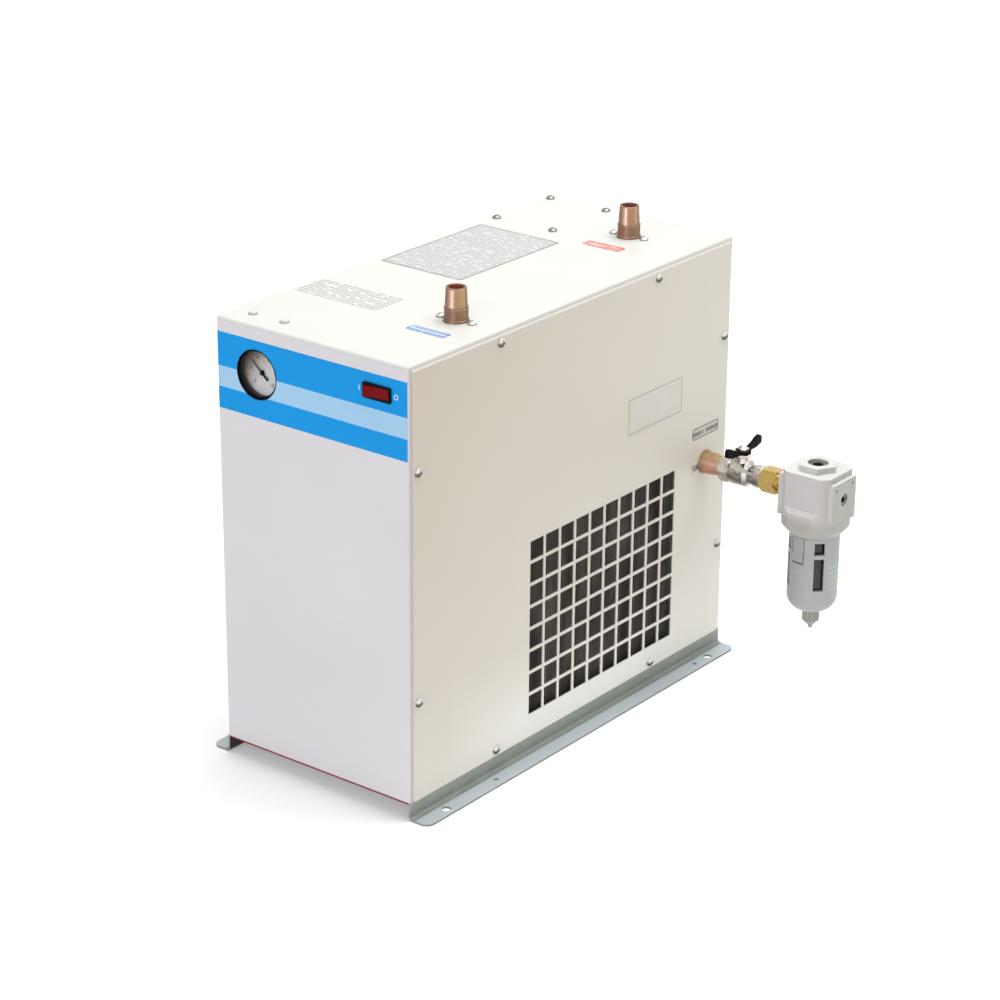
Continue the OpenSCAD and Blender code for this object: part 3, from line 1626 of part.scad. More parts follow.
module refrigerant_lines() {
    line_in = 40;
    feed_y = exch_y0 + line_in;
    suction_z = exch_z0 + line_in;
    color("chocolate") {
        gas_pipe([
            [gas_out_x, comp_y, stub_z], [gas_out_x, comp_y, gas_run_z],
            [cond_xc, comp_y, gas_run_z], [cond_xc, comp_y, row_top], [cond_xc, cond_in_y, row_top]
        ]);
        gas_pipe([
            [suction_x, comp_y, stub_z], [suction_x, comp_y, suction_z], [suction_x, exch_y0, suction_z]
        ]);
        gas_pipe([
            [cond_xc, cond_in_y, row_low], [cond_xc, drier_y, row_low], [cond_xc, drier_y, drier_z]
        ]);
        gas_pipe([
            [cond_xc, drier_y, drier_z + drier_l], [cond_xc, drier_y, inject_z],
            [inject_x, drier_y, inject_z], [inject_x, exch_y0, inject_z]
        ], capillary_d);
        gas_pipe([
            [bypass_x, comp_y, gas_run_z + gas_pipe_d / 2], [bypass_x, comp_y, bypass_z],
            [bypass_x, bypass_y, bypass_z]
        ]);
        gas_pipe([
            [bypass_x, bypass_y + bypass_l, bypass_z], [bypass_x, feed_y, bypass_z],
            [exch_x1, feed_y, bypass_z]
        ]);
    }
}

module filter_drier() {
    neck_r2 = gas_pipe_d / 2 + 1.5;
    cone = 14;
    color("peru") translate([cond_xc, drier_y, drier_z]) rotate_extrude() polygon([
        [0, 0], [neck_r2, 0], [drier_r, cone], [drier_r, drier_l - cone], [neck_r2, drier_l], [0, drier_l]
    ]);
}

module bypass_valve() {
    body_r = 10;
    bonnet_r = 15;
    bonnet_h = 36;
    color("goldenrod") translate([bypass_x, bypass_y, bypass_z]) {
        rotate([-90, 0, 0]) bevel_bar(2 * body_r, bypass_l, 3);
        translate([0, bypass_l / 2, 0]) cylinder(r = body_r - 2, h = bonnet_h);
        translate([0, bypass_l / 2, bonnet_h * 0.45]) bevel_bar(2 * bonnet_r, bonnet_h * 0.4, 2);
    }
}

// Electrics

module terminal_box() {
    w = 84;
    d = 42;
    h = 98;
    lid = 10;
    side_gap = 14;
    gauge_gap = 34;
    z0 = gauge_z - gauge_d / 2 - gauge_gap - h;
    color("#555b60") translate([-side_x + side_gap + w / 2, front_y + sheet_t + d, z0 + h / 2])
        rotate([90, 0, 0]) {
            linear_extrude(d) round_rect(w - 3, h - 3, 4);
            linear_extrude(lid) round_rect(w, h, 5);
        }
}

module cable_gland() {
    gland_af = 24;
    hex_l = 5;
    dome_d2 = 20;
    dome_l = 10;
    tail = 8;
    cable_r = 4.5;
    color("#1b1b1b") translate([gland_x, rear_y, gland_z]) rotate([-90, 0, 0]) difference() {
        union() {
            hex_bar(gland_af, hex_l);
            translate([0, 0, hex_l]) bevel_bar(dome_d2, dome_l, 3);
            translate([0, 0, -sheet_t - tail]) cylinder(r = gland_r, h = sheet_t + tail);
            translate([0, 0, -sheet_t - hex_l]) hex_bar(gland_af, hex_l);
        }
        translate([0, 0, -sheet_t - tail - 1]) cylinder(r = cable_r, h = sheet_t + tail + hex_l + dome_l + 2);
    }
}

base_plate();
left_foot_rail();
right_foot_rail();
front_panel();
rear_panel();
top_cover();
left_side_panel();
right_side_panel();
stripe_film();
side_screws();
fitting_screws();
dome_screws();
inlet_nipple();
outlet_nipple();
drain_nipple();
gauge_case();
gauge_dial();
gauge_needle();
gauge_lens();
gauge_socket();
gauge_bracket();
gauge_tube();
switch_housing();
switch_rocker();
valve_body();
valve_tailpiece();
valve_ball();
valve_stem();
valve_gland();
valve_handle();
handle_nut();
hex_adapter();
drain_head();
port_plugs();
bowl_guard();
clear_bowl();
lock_button();
float();
drain_cock();
condenser_fins();
condenser_tubes();
condenser_frame();
fan_shroud();
fan_rotor();
fan_motor();
fan_bracket();
compressor();
compressor_feet();
terminal_cover();
heat_exchanger();
exchanger_hanger();
inlet_pipe();
outlet_pipe();
drain_pipe();
refrigerant_lines();
filter_drier();
bypass_valve();
terminal_box();
cable_gland();
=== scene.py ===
"""Looks of the refrigerated air dryer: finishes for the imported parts, and the pieces that only show."""

import math

import bmesh
import bpy
from mathutils import Matrix, Vector


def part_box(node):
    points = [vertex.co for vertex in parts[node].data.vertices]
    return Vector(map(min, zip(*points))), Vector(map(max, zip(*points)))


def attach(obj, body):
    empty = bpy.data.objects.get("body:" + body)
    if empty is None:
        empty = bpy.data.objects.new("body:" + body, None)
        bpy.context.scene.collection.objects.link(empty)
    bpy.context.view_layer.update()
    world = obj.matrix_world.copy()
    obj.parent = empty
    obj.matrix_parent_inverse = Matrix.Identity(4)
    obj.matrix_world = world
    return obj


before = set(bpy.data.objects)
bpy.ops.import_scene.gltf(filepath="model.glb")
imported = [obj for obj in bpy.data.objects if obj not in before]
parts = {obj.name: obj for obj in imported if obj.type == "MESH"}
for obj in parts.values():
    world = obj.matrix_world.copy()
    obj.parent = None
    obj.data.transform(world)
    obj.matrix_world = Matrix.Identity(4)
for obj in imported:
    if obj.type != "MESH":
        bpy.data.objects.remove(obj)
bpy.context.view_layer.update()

MM = 0.001
FULL_TURN = 2 * math.pi


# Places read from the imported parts

def low(name):
    return Vector(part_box(name)[0])


def high(name):
    return Vector(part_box(name)[1])


def middle(name):
    return (low(name) + high(name)) / 2


TOP_Z = high("top_cover").z
SIDE_X = high("right_side_panel").x
FRONT_Y = low("front_panel").y
GAUGE = middle("gauge_case")
SWITCH = middle("switch_housing")
OUTLET = Vector((middle("outlet_nipple").x, middle("outlet_nipple").y, TOP_Z))
INLET = Vector((middle("inlet_nipple").x, middle("inlet_nipple").y, TOP_Z))
GUARD = middle("bowl_guard")
DIAL_Y = low("gauge_dial").y
DIAL_CENTRE = Vector((GAUGE.x, DIAL_Y, GAUGE.z))
DIAL_R = (high("gauge_dial").x - low("gauge_dial").x) / 2 / MM


# Node tools

def add_node(tree, kind, **settings):
    node = tree.nodes.new(kind)
    for key, value in settings.items():
        setattr(node, key, value)
    return node


def map_values(tree, output, low_value, high_value, start, end):
    """Turns the range from start to end into the range from low to high, and holds it there."""
    node = add_node(tree, "ShaderNodeMapRange")
    for socket, value in (
        ("From Min", start), ("From Max", end), ("To Min", low_value), ("To Max", high_value)
    ):
        node.inputs[socket].default_value = value
    tree.links.new(output, node.inputs["Value"])
    return node.outputs["Result"]


def shows_to_lens(tree):
    """1 where a ray comes from the camera, a reflection or glass, 0 where it only carries light."""
    path = add_node(tree, "ShaderNodeLightPath")
    seen = path.outputs["Is Camera Ray"]
    for ray in ("Is Glossy Ray", "Is Transmission Ray"):
        either = add_node(tree, "ShaderNodeMath", operation="MAXIMUM")
        tree.links.new(seen, either.inputs[0])
        tree.links.new(path.outputs[ray], either.inputs[1])
        seen = either.outputs[0]
    return seen


# Camera, floor and light; lengths in metres, angles in degrees

SENSOR_WIDTH = 36
LENS = 107.26
CAMERA_PLACE = (SIDE_X + 1.54276, -2.10916, 1.29449)
CAMERA_TURN = (67.984, -0.426, 37.994)
FLOOR_HALF = 20
FLOOR_WHITE = (0.88, 0.88, 0.88, 1)
WHITE_LIGHT = (1, 1, 1, 1)
NEAR_LIFT = 0.26
FAR_LIFT = 0.75
LIFT_FROM = 0.9
LIFT_TO = 4.0
WORLD_LIGHT = 0.46
WORLD_SEEN = 1.0

# Each lamp's name, place, aim, width and power
LAMPS = (
    ("overhead", (0.40, 0.70, 3.1), (0, 0, 0.2), 2.4, 80),
    ("front_fill", (0.5, -3.2, 1.3), (0.1, 0, 0.25), 2.2, 36),
    ("low_side_fill", (1.7, 1.1, 0.15), (0.1, 0.1, 0.08), 0.9, 2.5)
)


def make_camera():
    """Pinhole camera, fitted to the cabinet's edges."""
    data = bpy.data.cameras.new("photo_camera")
    data.sensor_width = SENSOR_WIDTH
    data.lens = LENS
    camera = bpy.data.objects.new("photo_camera", data)
    camera.location = CAMERA_PLACE
    camera.rotation_euler = [math.radians(angle) for angle in CAMERA_TURN]
    bpy.context.scene.collection.objects.link(camera)
    bpy.context.scene.camera = camera


def floor_finish():
    """Matt white floor that stays white to the lens and still takes the object's shadow."""
    material = bpy.data.materials.new("floor_white")
    material.use_nodes = True
    tree = material.node_tree
    tree.nodes.clear()
    matt = add_node(tree, "ShaderNodeBsdfDiffuse")
    matt.inputs["Color"].default_value = FLOOR_WHITE
    place = add_node(tree, "ShaderNodeTexCoord")
    reach = add_node(tree, "ShaderNodeVectorMath", operation="LENGTH")
    tree.links.new(place.outputs["Object"], reach.inputs[0])
    lift = add_node(tree, "ShaderNodeMath", operation="MULTIPLY")
    far = map_values(tree, reach.outputs["Value"], NEAR_LIFT, FAR_LIFT, LIFT_FROM, LIFT_TO)
    tree.links.new(shows_to_lens(tree), lift.inputs[0])
    tree.links.new(far, lift.inputs[1])
    glow = add_node(tree, "ShaderNodeEmission")
    glow.inputs["Color"].default_value = WHITE_LIGHT
    tree.links.new(lift.outputs[0], glow.inputs["Strength"])
    both = add_node(tree, "ShaderNodeAddShader")
    tree.links.new(matt.outputs[0], both.inputs[0])
    tree.links.new(glow.outputs[0], both.inputs[1])
    out = add_node(tree, "ShaderNodeOutputMaterial")
    tree.links.new(both.outputs[0], out.inputs["Surface"])
    return material


def make_floor():
    bm = bmesh.new()
    bmesh.ops.create_grid(bm, x_segments=1, y_segments=1, size=FLOOR_HALF)
    floor = finish_mesh("studio_floor", bm)
    floor.data.materials.append(floor_finish())


def make_world():
    """White surroundings: full white to the lens, dimmer as a source of light."""
    world = bpy.data.worlds.new("studio")
    world.use_nodes = True
    bpy.context.scene.world = world
    tree = world.node_tree
    back = tree.nodes["Background"]
    back.inputs["Color"].default_value = WHITE_LIGHT
    level = map_values(tree, shows_to_lens(tree), WORLD_LIGHT, WORLD_SEEN, 0, 1)
    tree.links.new(level, back.inputs["Strength"])


def soft_box(name, place, aim, size, power):
    data = bpy.data.lights.new(name, "AREA")
    data.shape = "SQUARE"
    data.size = size
    data.energy = power
    lamp = bpy.data.objects.new(name, data)
    lamp.location = place
    lamp.rotation_euler = (Vector(aim) - Vector(place)).to_track_quat("-Z", "Y").to_euler()
    bpy.context.scene.collection.objects.link(lamp)


def make_lamps():
    for lamp in LAMPS:
        soft_box(*lamp)


# Material tools

BEVEL_SAMPLES = 4
EDGE_TURN = (0.90, 0.985)


def shade(color, factor):
    return tuple(min(1.0, c * factor) for c in color)


class Finish:
    """A material being built: its shader, and short ways to add and join nodes."""

    def __init__(self, name, color, roughness, metallic=0.0):
        self.material = bpy.data.materials.new(name)
        self.material.use_nodes = True
        self.tree = self.material.node_tree
        self.shader = self.tree.nodes["Principled BSDF"]
        self.set("Base Color", (*color, 1))
        self.set("Roughness", roughness)
        self.set("Metallic", metallic)
        self.place = self.add("ShaderNodeTexCoord").outputs["Object"]
        self.normal = None

    def set(self, socket, value):
        self.shader.inputs[socket].default_value = value

    def join(self, output, target):
        self.tree.links.new(output, target)

    def drive(self, socket, output):
        self.join(output, self.shader.inputs[socket])

    def add(self, kind, **settings):
        return add_node(self.tree, kind, **settings)

    def stretched(self, scale):
        node = self.add("ShaderNodeMapping")
        node.inputs["Scale"].default_value = scale
        self.join(self.place, node.inputs["Vector"])
        return node.outputs["Vector"]

    def noise(self, scale, detail=2.0, place=None):
        node = self.add("ShaderNodeTexNoise")
        node.inputs["Scale"].default_value = scale
        node.inputs["Detail"].default_value = detail
        self.join(place or self.place, node.inputs["Vector"])
        return node.outputs["Fac"]

    def flakes(self, scale):
        """A value of its own, from 0 to 1, for each cell of a crystal pattern."""
        node = self.add("ShaderNodeTexVoronoi")
        node.inputs["Scale"].default_value = scale
        self.join(self.place, node.inputs["Vector"])
        return self.spread(node.outputs["Color"], 0, 1, 0, 1)

    def spread(self, output, low_value, high_value, start=0.3, end=0.7):
        return map_values(self.tree, output, low_value, high_value, start, end)

    def math(self, operation, a, b=0):
        node = self.add("ShaderNodeMath", operation=operation)
        for socket, value in zip(node.inputs, (a, b)):
            if isinstance(value, (int, float)):
                socket.default_value = value
            else:
                self.join(value, socket)
        return node.outputs[0]

    def mix(self, amount, color_a, color_b):
        node = self.add("ShaderNodeMix", data_type="RGBA")
        if isinstance(amount, (int, float)):
            node.inputs["Factor"].default_value = amount
        else:
            self.join(amount, node.inputs["Factor"])
        for socket, color in (("A", color_a), ("B", color_b)):
            target = next(s for s in node.inputs if s.name == socket and s.type == "RGBA")
            if isinstance(color, (tuple, list)):
                target.default_value = (*color[:3], 1)
            else:
                self.join(color, target)
        return next(s for s in node.outputs if s.type == "RGBA")

    def blend(self, mask, share, base, over):
        """Lays one colour over another where the mask is 1, at a share of full strength."""
        return self.mix(self.math("MULTIPLY", mask, share), base, over)

    def clouded(self, pattern, color, dark, light):
        """A colour that drifts from a darker to a lighter shade of itself along a pattern."""
        return self.mix(self.spread(pattern, 0, 1), shade(color, dark), shade(color, light))

    def axis(self, name):
        node = self.add("ShaderNodeSeparateXYZ")
        self.join(self.place, node.inputs[0])
        return node.outputs[name]

    def uneven(self, pattern, first, last, start=0.3, end=0.7):
        """Roughness that follows a pattern from a first to a last value."""
        self.drive("Roughness", self.spread(pattern, first, last, start, end))

    def grain(self, scale, depth, strength=1.0, detail=2):
        """Fine relief from noise, its depth in mm."""
        node = self.add("ShaderNodeBump")
        node.inputs["Distance"].default_value = depth * MM
        node.inputs["Strength"].default_value = strength
        self.join(self.noise(scale, detail), node.inputs["Height"])
        if self.normal is not None:
            self.join(self.normal, node.inputs["Normal"])
        self.drive("Normal", node.outputs["Normal"])

    def rounded(self, radius):
        """Shades edges as round, in mm; gives 1 along an edge and 0 on the flats, to show wear there on the
        metals and castings and a painted highlight on the powder coat.
        """
        bevel = self.add("ShaderNodeBevel", samples=BEVEL_SAMPLES)
        bevel.inputs["Radius"].default_value = radius * MM
        self.normal = bevel.outputs["Normal"]
        turn = self.add("ShaderNodeVectorMath", operation="DOT_PRODUCT")
        self.join(self.normal, turn.inputs[0])
        self.join(self.surface(), turn.inputs[1])
        return self.spread(turn.outputs["Value"], 1, 0, *EDGE_TURN)

    def surface(self):
        return self.add("ShaderNodeNewGeometry").outputs["Normal"]

    def facing(self, name):
        """How far the surface faces along an axis, from -1 to 1."""
        node = self.add("ShaderNodeSeparateXYZ")
        self.join(self.surface(), node.inputs[0])
        return node.outputs[name]

    def towards(self, direction):
        """How far the surface faces a chosen direction, from -1 to 1."""
        node = self.add("ShaderNodeVectorMath", operation="DOT_PRODUCT")
        node.inputs[1].default_value = direction
        self.join(self.surface(), node.inputs[0])
        return node.outputs["Value"]

    def inward(self, centre):
        """1 on walls that face an upright axis through the centre, 0 on walls that face away."""
        arm = self.add("ShaderNodeVectorMath", operation="SUBTRACT")
        self.join(self.place, arm.inputs[0])
        arm.inputs[1].default_value = centre
        flat = self.add("ShaderNodeVectorMath", operation="MULTIPLY")
        self.join(arm.outputs["Vector"], flat.inputs[0])
        flat.inputs[1].default_value = (1, 1, 0)
        node = self.add("ShaderNodeVectorMath", operation="DOT_PRODUCT")
        self.join(flat.outputs["Vector"], node.inputs[0])
        self.join(self.surface(), node.inputs[1])
        return self.math("LESS_THAN", node.outputs["Value"], -1 * MM)

    def bands(self, output, start, end, stops):
        """Colours laid out between two values; each stop is its share of the way and its colour."""
        ramp = self.add("ShaderNodeValToRGB")
        points = ramp.color_ramp.elements
        while len(points) < len(stops):
            points.new(0.5)
        for point, (share, color) in zip(points, stops):
            point.position = share
            point.color = (*color, 1)
        self.join(self.spread(output, 0, 1, start, end), ramp.inputs["Fac"])
        return ramp.outputs["Color"]


# Colours

FRONT_GREY = (0.69, 0.67, 0.70)
FRONT_LOW = (0.83, 0.81, 0.84)
# Painted shade: the front panel's folded bend, turned sideways
FRONT_BEND_SHADE = (0.60, 0.565, 0.56)
COVER_WHITE = (0.745, 0.745, 0.70)
# Painted shade: the cover's lip, turned sideways
COVER_LIP_SHADE = (0.64, 0.63, 0.60)
COVER_EDGE = (0.56, 0.56, 0.54)
SIDE_BEIGE = (0.635, 0.57, 0.475)
# Painted light on the side panel: lighter towards its lower rear and along its foot, with a painted
# highlight on its top edge
SIDE_PAINTED_LIGHT = (0.815, 0.785, 0.715)
SIDE_LOW = (0.90, 0.89, 0.835)
SIDE_EDGE_HIGHLIGHT = (0.86, 0.83, 0.76)
STRIPE_BLUE = (0.004, 0.302, 0.755)
STRIPE_PALE = (0.36, 0.60, 0.82)
OXIDE_RED = (0.26, 0.022, 0.04)
# Painted shade for the base plate's faces other than its front and rear edges
OXIDE_SHADE = (0.035, 0.025, 0.024)
SHEET_ZINC = (0.60, 0.61, 0.62)
# Painted light and shade on the foot rails: the upright web shaded, the flange lit, the inner face
# near-black shade
WEB_ZINC_SHADED = (0.27, 0.29, 0.255)
FLANGE_ZINC_LIT = (0.51, 0.565, 0.595)
RAIL_SHADE = (0.02, 0.016, 0.018)
BRONZE = (0.255, 0.137, 0.092)
PINK_BRONZE = (0.37, 0.195, 0.145)
PALE_BRONZE = (0.84, 0.66, 0.53)
YELLOW_BRONZE = (0.41, 0.285, 0.135)
DARK_BRONZE = (0.12, 0.055, 0.036)
# Painted light on the inner wall of the pipe bores
BORE_PAINTED_LIGHT = (0.72, 0.34, 0.25)
BRASS = (0.70, 0.51, 0.18)
COPPER = (0.62, 0.30, 0.17)
PLUG_STEEL = (0.30, 0.29, 0.27)
CHROME_EDGE = (0.92, 0.90, 0.87)
SCREW_EDGE = (0.85, 0.84, 0.82)
DULL_SCREW = (0.24, 0.23, 0.22)
CAST_FRONT = (0.615, 0.59, 0.60)
# Painted shade on faces turned to +X and round the collar, painted light on top
CAST_SHADED_SIDE = (0.465, 0.455, 0.41)
CAST_LIT_TOP = (0.70, 0.70, 0.67)
CAST_SHADED = (0.455, 0.44, 0.42)
GUARD_GREY = (0.43, 0.43, 0.44)
COCK_GREY = (0.36, 0.34, 0.32)
BOX_GREY = (0.12, 0.125, 0.13)
FLOAT_WHITE = (0.80, 0.80, 0.78)
PLAIN_BLACK = (0.008, 0.008, 0.009)
DULL_BLACK = (0.006, 0.006, 0.006)
SHELL_BLACK = (0.02, 0.022, 0.025)
RUBBER_BLACK = (0.02, 0.02, 0.02)
FOAM_BLACK = (0.035, 0.035, 0.037)
FIN_GREY = (0.20, 0.18, 0.165)
ROCKER_RED = (0.19, 0.003, 0.006)
LENS_CLEAR = (0.97, 0.98, 0.98)
BOWL_SMOKE = (0.20, 0.20, 0.20)
# Bands around the pipe bodies and threads: painted highlight and shade over their own pink and brassy tones
BODY_TONES_AND_LIGHT = (
    (0.0, DARK_BRONZE), (0.14, BRONZE), (0.35, (0.32, 0.185, 0.13)), (0.55, BRONZE),
    (0.86, (0.29, 0.205, 0.10)), (1.0, DARK_BRONZE)
)
THREAD_TONES_AND_LIGHT = (
    (0.0, DARK_BRONZE), (0.14, PINK_BRONZE), (0.30, PALE_BRONZE), (0.40, PINK_BRONZE),
    (0.78, YELLOW_BRONZE), (1.0, (0.20, 0.12, 0.065))
)
DRAIN_BANDS = (
    (0.0, DARK_BRONZE), (0.07, (0.20, 0.10, 0.06)), (0.16, (0.50, 0.34, 0.20)), (0.34, (0.66, 0.38, 0.28)),
    (0.70, (0.66, 0.38, 0.28)), (0.90, (0.62, 0.50, 0.34)), (1.0, (0.50, 0.44, 0.32))
)
# Painted shade underneath the drain nipple, a painted highlight just above its middle, brassy tones on top
AROUND_TONES_AND_LIGHT = (
    (0.0, (0.22, 0.09, 0.065)), (0.3, (0.42, 0.20, 0.15)), (0.5, (0.72, 0.42, 0.33)),
    (0.64, (0.82, 0.58, 0.48)), (0.8, (0.52, 0.38, 0.20)), (1.0, (0.36, 0.26, 0.12))
)
# Painted reflection of a room on the plating
CHROME_REFLECTION = (
    (0.0, (0.36, 0.33, 0.31)), (0.18, (0.56, 0.52, 0.50)), (0.34, (0.20, 0.19, 0.18)),
    (0.46, (0.56, 0.53, 0.51)), (0.56, (0.82, 0.79, 0.77)), (0.66, (0.42, 0.39, 0.38)),
    (0.78, (0.86, 0.84, 0.81)), (0.9, (0.50, 0.48, 0.45)), (1.0, (0.82, 0.80, 0.77))
)
# Painted highlight and shade on the screw heads, by slope
SIDE_SCREW_LIGHT = (
    (0.0, (0.03, 0.028, 0.025)), (0.36, (0.10, 0.09, 0.08)), (0.5, (0.36, 0.34, 0.32)),
    (0.62, (0.90, 0.89, 0.87)), (1.0, (0.70, 0.69, 0.67))
)
ROOF_SCREW_LIGHT = (
    (0.0, (0.08, 0.08, 0.08)), (0.5, (0.30, 0.30, 0.285)), (0.8, (0.55, 0.55, 0.53)),
    (0.95, (0.72, 0.72, 0.69)), (1.0, (0.74, 0.74, 0.70))
)
# Painted shade grey down the sides of the white heads
CAP_SHADE_BANDS = (
    (0.0, (0.12, 0.12, 0.12)), (0.5, (0.26, 0.26, 0.25)), (0.78, (0.60, 0.60, 0.57)),
    (0.9, (0.74, 0.74, 0.70)), (1.0, (0.745, 0.745, 0.70))
)
DIAL_BANDS = (
    (0.0, (0.59, 0.59, 0.63)), (0.4, (0.53, 0.52, 0.54)), (0.68, (0.40, 0.35, 0.33)),
    (0.86, (0.17, 0.125, 0.105)), (1.0, (0.05, 0.036, 0.03))
)
SURROUND_BANDS = (
    (0.0, (0.006, 0.005, 0.006)), (0.4, (0.014, 0.010, 0.010)), (0.75, (0.10, 0.07, 0.06)),
    (1.0, (0.26, 0.20, 0.175))
)


# Where tones change on a piece, in metres

GLOW_UP = (0.04, 0.12)
GLOW_AHEAD = (-0.20, -0.08)
GLOW_BEHIND = (0.10, 0.22)
GLOW_FRONT = 0.35
GLOW_REAR = 0.3
STRIP_TALL = 1.5 * MM
STRIP_SOFT = 0.4 * MM
GREY_EDGE_IN = 2.8 * MM
GREY_EDGE_SOFT = 0.6 * MM
COLLAR_Z = low("drain_head").z + 25 * MM
COLLAR_FADE = 9 * MM
WEB_FADE = (2 * MM, 18 * MM)
CORNER_FADE = (SIDE_X + 2.5 * MM, SIDE_X + 5.5 * MM)
HANGER_EDGE = -20 * MM
PALE_FROM_FOOT = 21 * MM
PALE_FROM_TOP = 32.6 * MM

# Directions across which painted highlight and shade bands, and the dial's shading, run
PAINTED_LIGHT_ACROSS = (0.788, 0.616, 0)
DIAL_SHADE = (-0.75, 0.66)


def fading(f):
    """Painted light: 0 at the panel's upper front corner, 1 at its lower rear corner, where the panel is
    painted lighter.
    """
    down = f.spread(f.axis("Z"), 0.5, 0, 0, TOP_Z)
    back = f.spread(f.axis("Y"), 0, 0.5, FRONT_Y, -FRONT_Y)
    return f.math("ADD", down, back)


def near_floor(f):
    """1 along a panel's foot, where the floor throws light back, less at its ends, 0 higher up."""
    foot = f.spread(f.axis("Z"), 1, 0, *GLOW_UP)
    ahead = f.spread(f.axis("Y"), GLOW_FRONT, 1, *GLOW_AHEAD)
    behind = f.spread(f.axis("Y"), 1, GLOW_REAR, *GLOW_BEHIND)
    return f.math("MULTIPLY", foot, f.math("MULTIPLY", ahead, behind))


def top_strip(f):
    """1 on the folded strip along a side panel's upper edge, which takes a lighter painted highlight."""
    edge = high("right_side_panel").z - STRIP_TALL
    return f.spread(f.axis("Z"), 0, 1, edge - STRIP_SOFT, edge)


def far_edges(f):
    """1 on the upward faces along the cover's left and rear edges, which take a darker grey."""
    inner = GREY_EDGE_IN + GREY_EDGE_SOFT
    left = f.spread(f.axis("X"), 1, 0, -SIDE_X + GREY_EDGE_IN, -SIDE_X + inner)
    rear = f.spread(f.axis("Y"), 0, 1, -FRONT_Y - inner, -FRONT_Y - GREY_EDGE_IN)
    upward = f.spread(f.facing("Z"), 0, 1, 0.4, 0.7)
    return f.math("MULTIPLY", f.math("MAXIMUM", left, rear), upward)


def over_the_hanger(f):
    """1 on the darker screws over the heat exchanger's hanger, 0 on those beside the fittings."""
    return f.math("LESS_THAN", f.axis("X"), HANGER_EDGE)


# Finishes

def powder_coat(name, color, grain=1400, roughness=0.42, rounding=0.8, edge_highlight=1.05, sideways_shade=None, painted_light_and_tones=()):
    """Sprayed powder coat: faint clouding, orange peel, uneven gloss, a painted highlight on edges, painted
    shade on faces turned sideways, and masks that lay painted light and other tones over the film.
    """
    f = Finish(name, color, roughness)
    f.set("Specular IOR Level", 0.45)
    rim = f.rounded(rounding)
    film = f.clouded(f.noise(7, 3), color, 0.975, 1.015)
    # Masks lay painted light and other tones over the film.
    for place, tone in painted_light_and_tones:
        film = f.mix(place(f), film, tone)
    # Edges take a lighter painted highlight.
    coat = f.mix(rim, film, shade(color, edge_highlight))
    # Faces turned sideways take a darker painted shade.
    if sideways_shade is not None:
        sideways = f.math("ABSOLUTE", f.facing("X"))
        coat = f.mix(f.spread(sideways, 0, 1, 0.55, 0.9), coat, sideways_shade)
    f.drive("Base Color", coat)
    f.uneven(f.noise(30, 3), roughness - 0.05, roughness + 0.06)
    f.grain(grain, 0.06, 0.6)
    return f.material


def cast_coat(name, front, side, top, shaded):
    """Painted casting: painted light on its upward faces, clean in front, painted shade on faces turned to
    +X and round the collar.
    """
    f = Finish(name, front, 0.48)
    f.set("Specular IOR Level", 0.45)
    rim = f.rounded(0.8)
    # Painted shade on faces turned to +X and round the collar, painted light on upward faces.
    tone = f.mix(f.spread(f.facing("X"), 0, 1, 0.35, 0.95), front, side)
    tone = f.mix(f.spread(f.axis("Z"), 1, 0, COLLAR_Z - COLLAR_FADE, COLLAR_Z), tone, shaded)
    tone = f.mix(f.spread(f.facing("Z"), 0, 1, 0.15, 0.85), tone, top)
    cloud = f.spread(f.noise(40, 3), 0, 1)
    film = f.blend(cloud, 0.15, tone, shaded)
    f.drive("Base Color", f.blend(rim, 0.35, film, top))
    f.uneven(cloud, 0.42, 0.54)
    f.grain(900, 0.08, 0.6)
    return f.material


def galvanised(name, color):
    """Zinc-coated sheet with soft crystal flakes and rolling marks."""
    f = Finish(name, color, 0.42, 0.85)
    smear = f.noise(26, 4, f.stretched((1, 0.15, 1)))
    f.drive("Base Color", f.blend(f.flakes(45), smear, shade(color, 0.90), shade(color, 1.06)))
    f.uneven(smear, 0.32, 0.54)
    f.grain(420, 0.08, 0.5, 3)
    return f.material


def foot_zinc(name, web, flange, painted_shade):
    """Zinc-coated foot rail: upright web in painted shade, darker towards the floor and painted near-black
    shade on its inner face, a flange painted lighter where it stands clear of the cabinet, and a soft
    spangle.
    """
    f = Finish(name, web, 0.5, 0.25)
    f.set("Specular IOR Level", 0.3)
    rim = f.rounded(0.5)
    # Painted light and shade: the web darker than the flange, its inner face near-black, the flange lit
    # only where it stands clear of the cabinet.
    outward = f.math("MULTIPLY", f.facing("X"), f.math("SIGN", f.axis("X")))
    outer = f.mix(f.spread(f.axis("Z"), 0, 1, *WEB_FADE), shade(web, 0.86), shade(web, 1.3))
    upright = f.mix(f.spread(outward, 1, 0, -0.9, -0.4), outer, painted_shade)
    corner = f.spread(f.math("ABSOLUTE", f.axis("X")), 0, 1, *CORNER_FADE)
    level = f.math("MULTIPLY", f.spread(f.facing("Z"), 0, 1, 0.55, 0.98), corner)
    tone = f.mix(level, upright, flange)
    smear = f.noise(24, 4, f.stretched((1, 0.12, 1)))
    painted_light_and_tones = f.blend(f.flakes(70), smear, tone, shade(flange, 1.1))
    dull = f.mix(0.22, tone, painted_light_and_tones)
    f.drive("Base Color", f.blend(rim, 0.25, dull, shade(flange, 1.2)))
    f.uneven(smear, 0.42, 0.58)
    f.grain(420, 0.06, 0.4, 3)
    return f.material


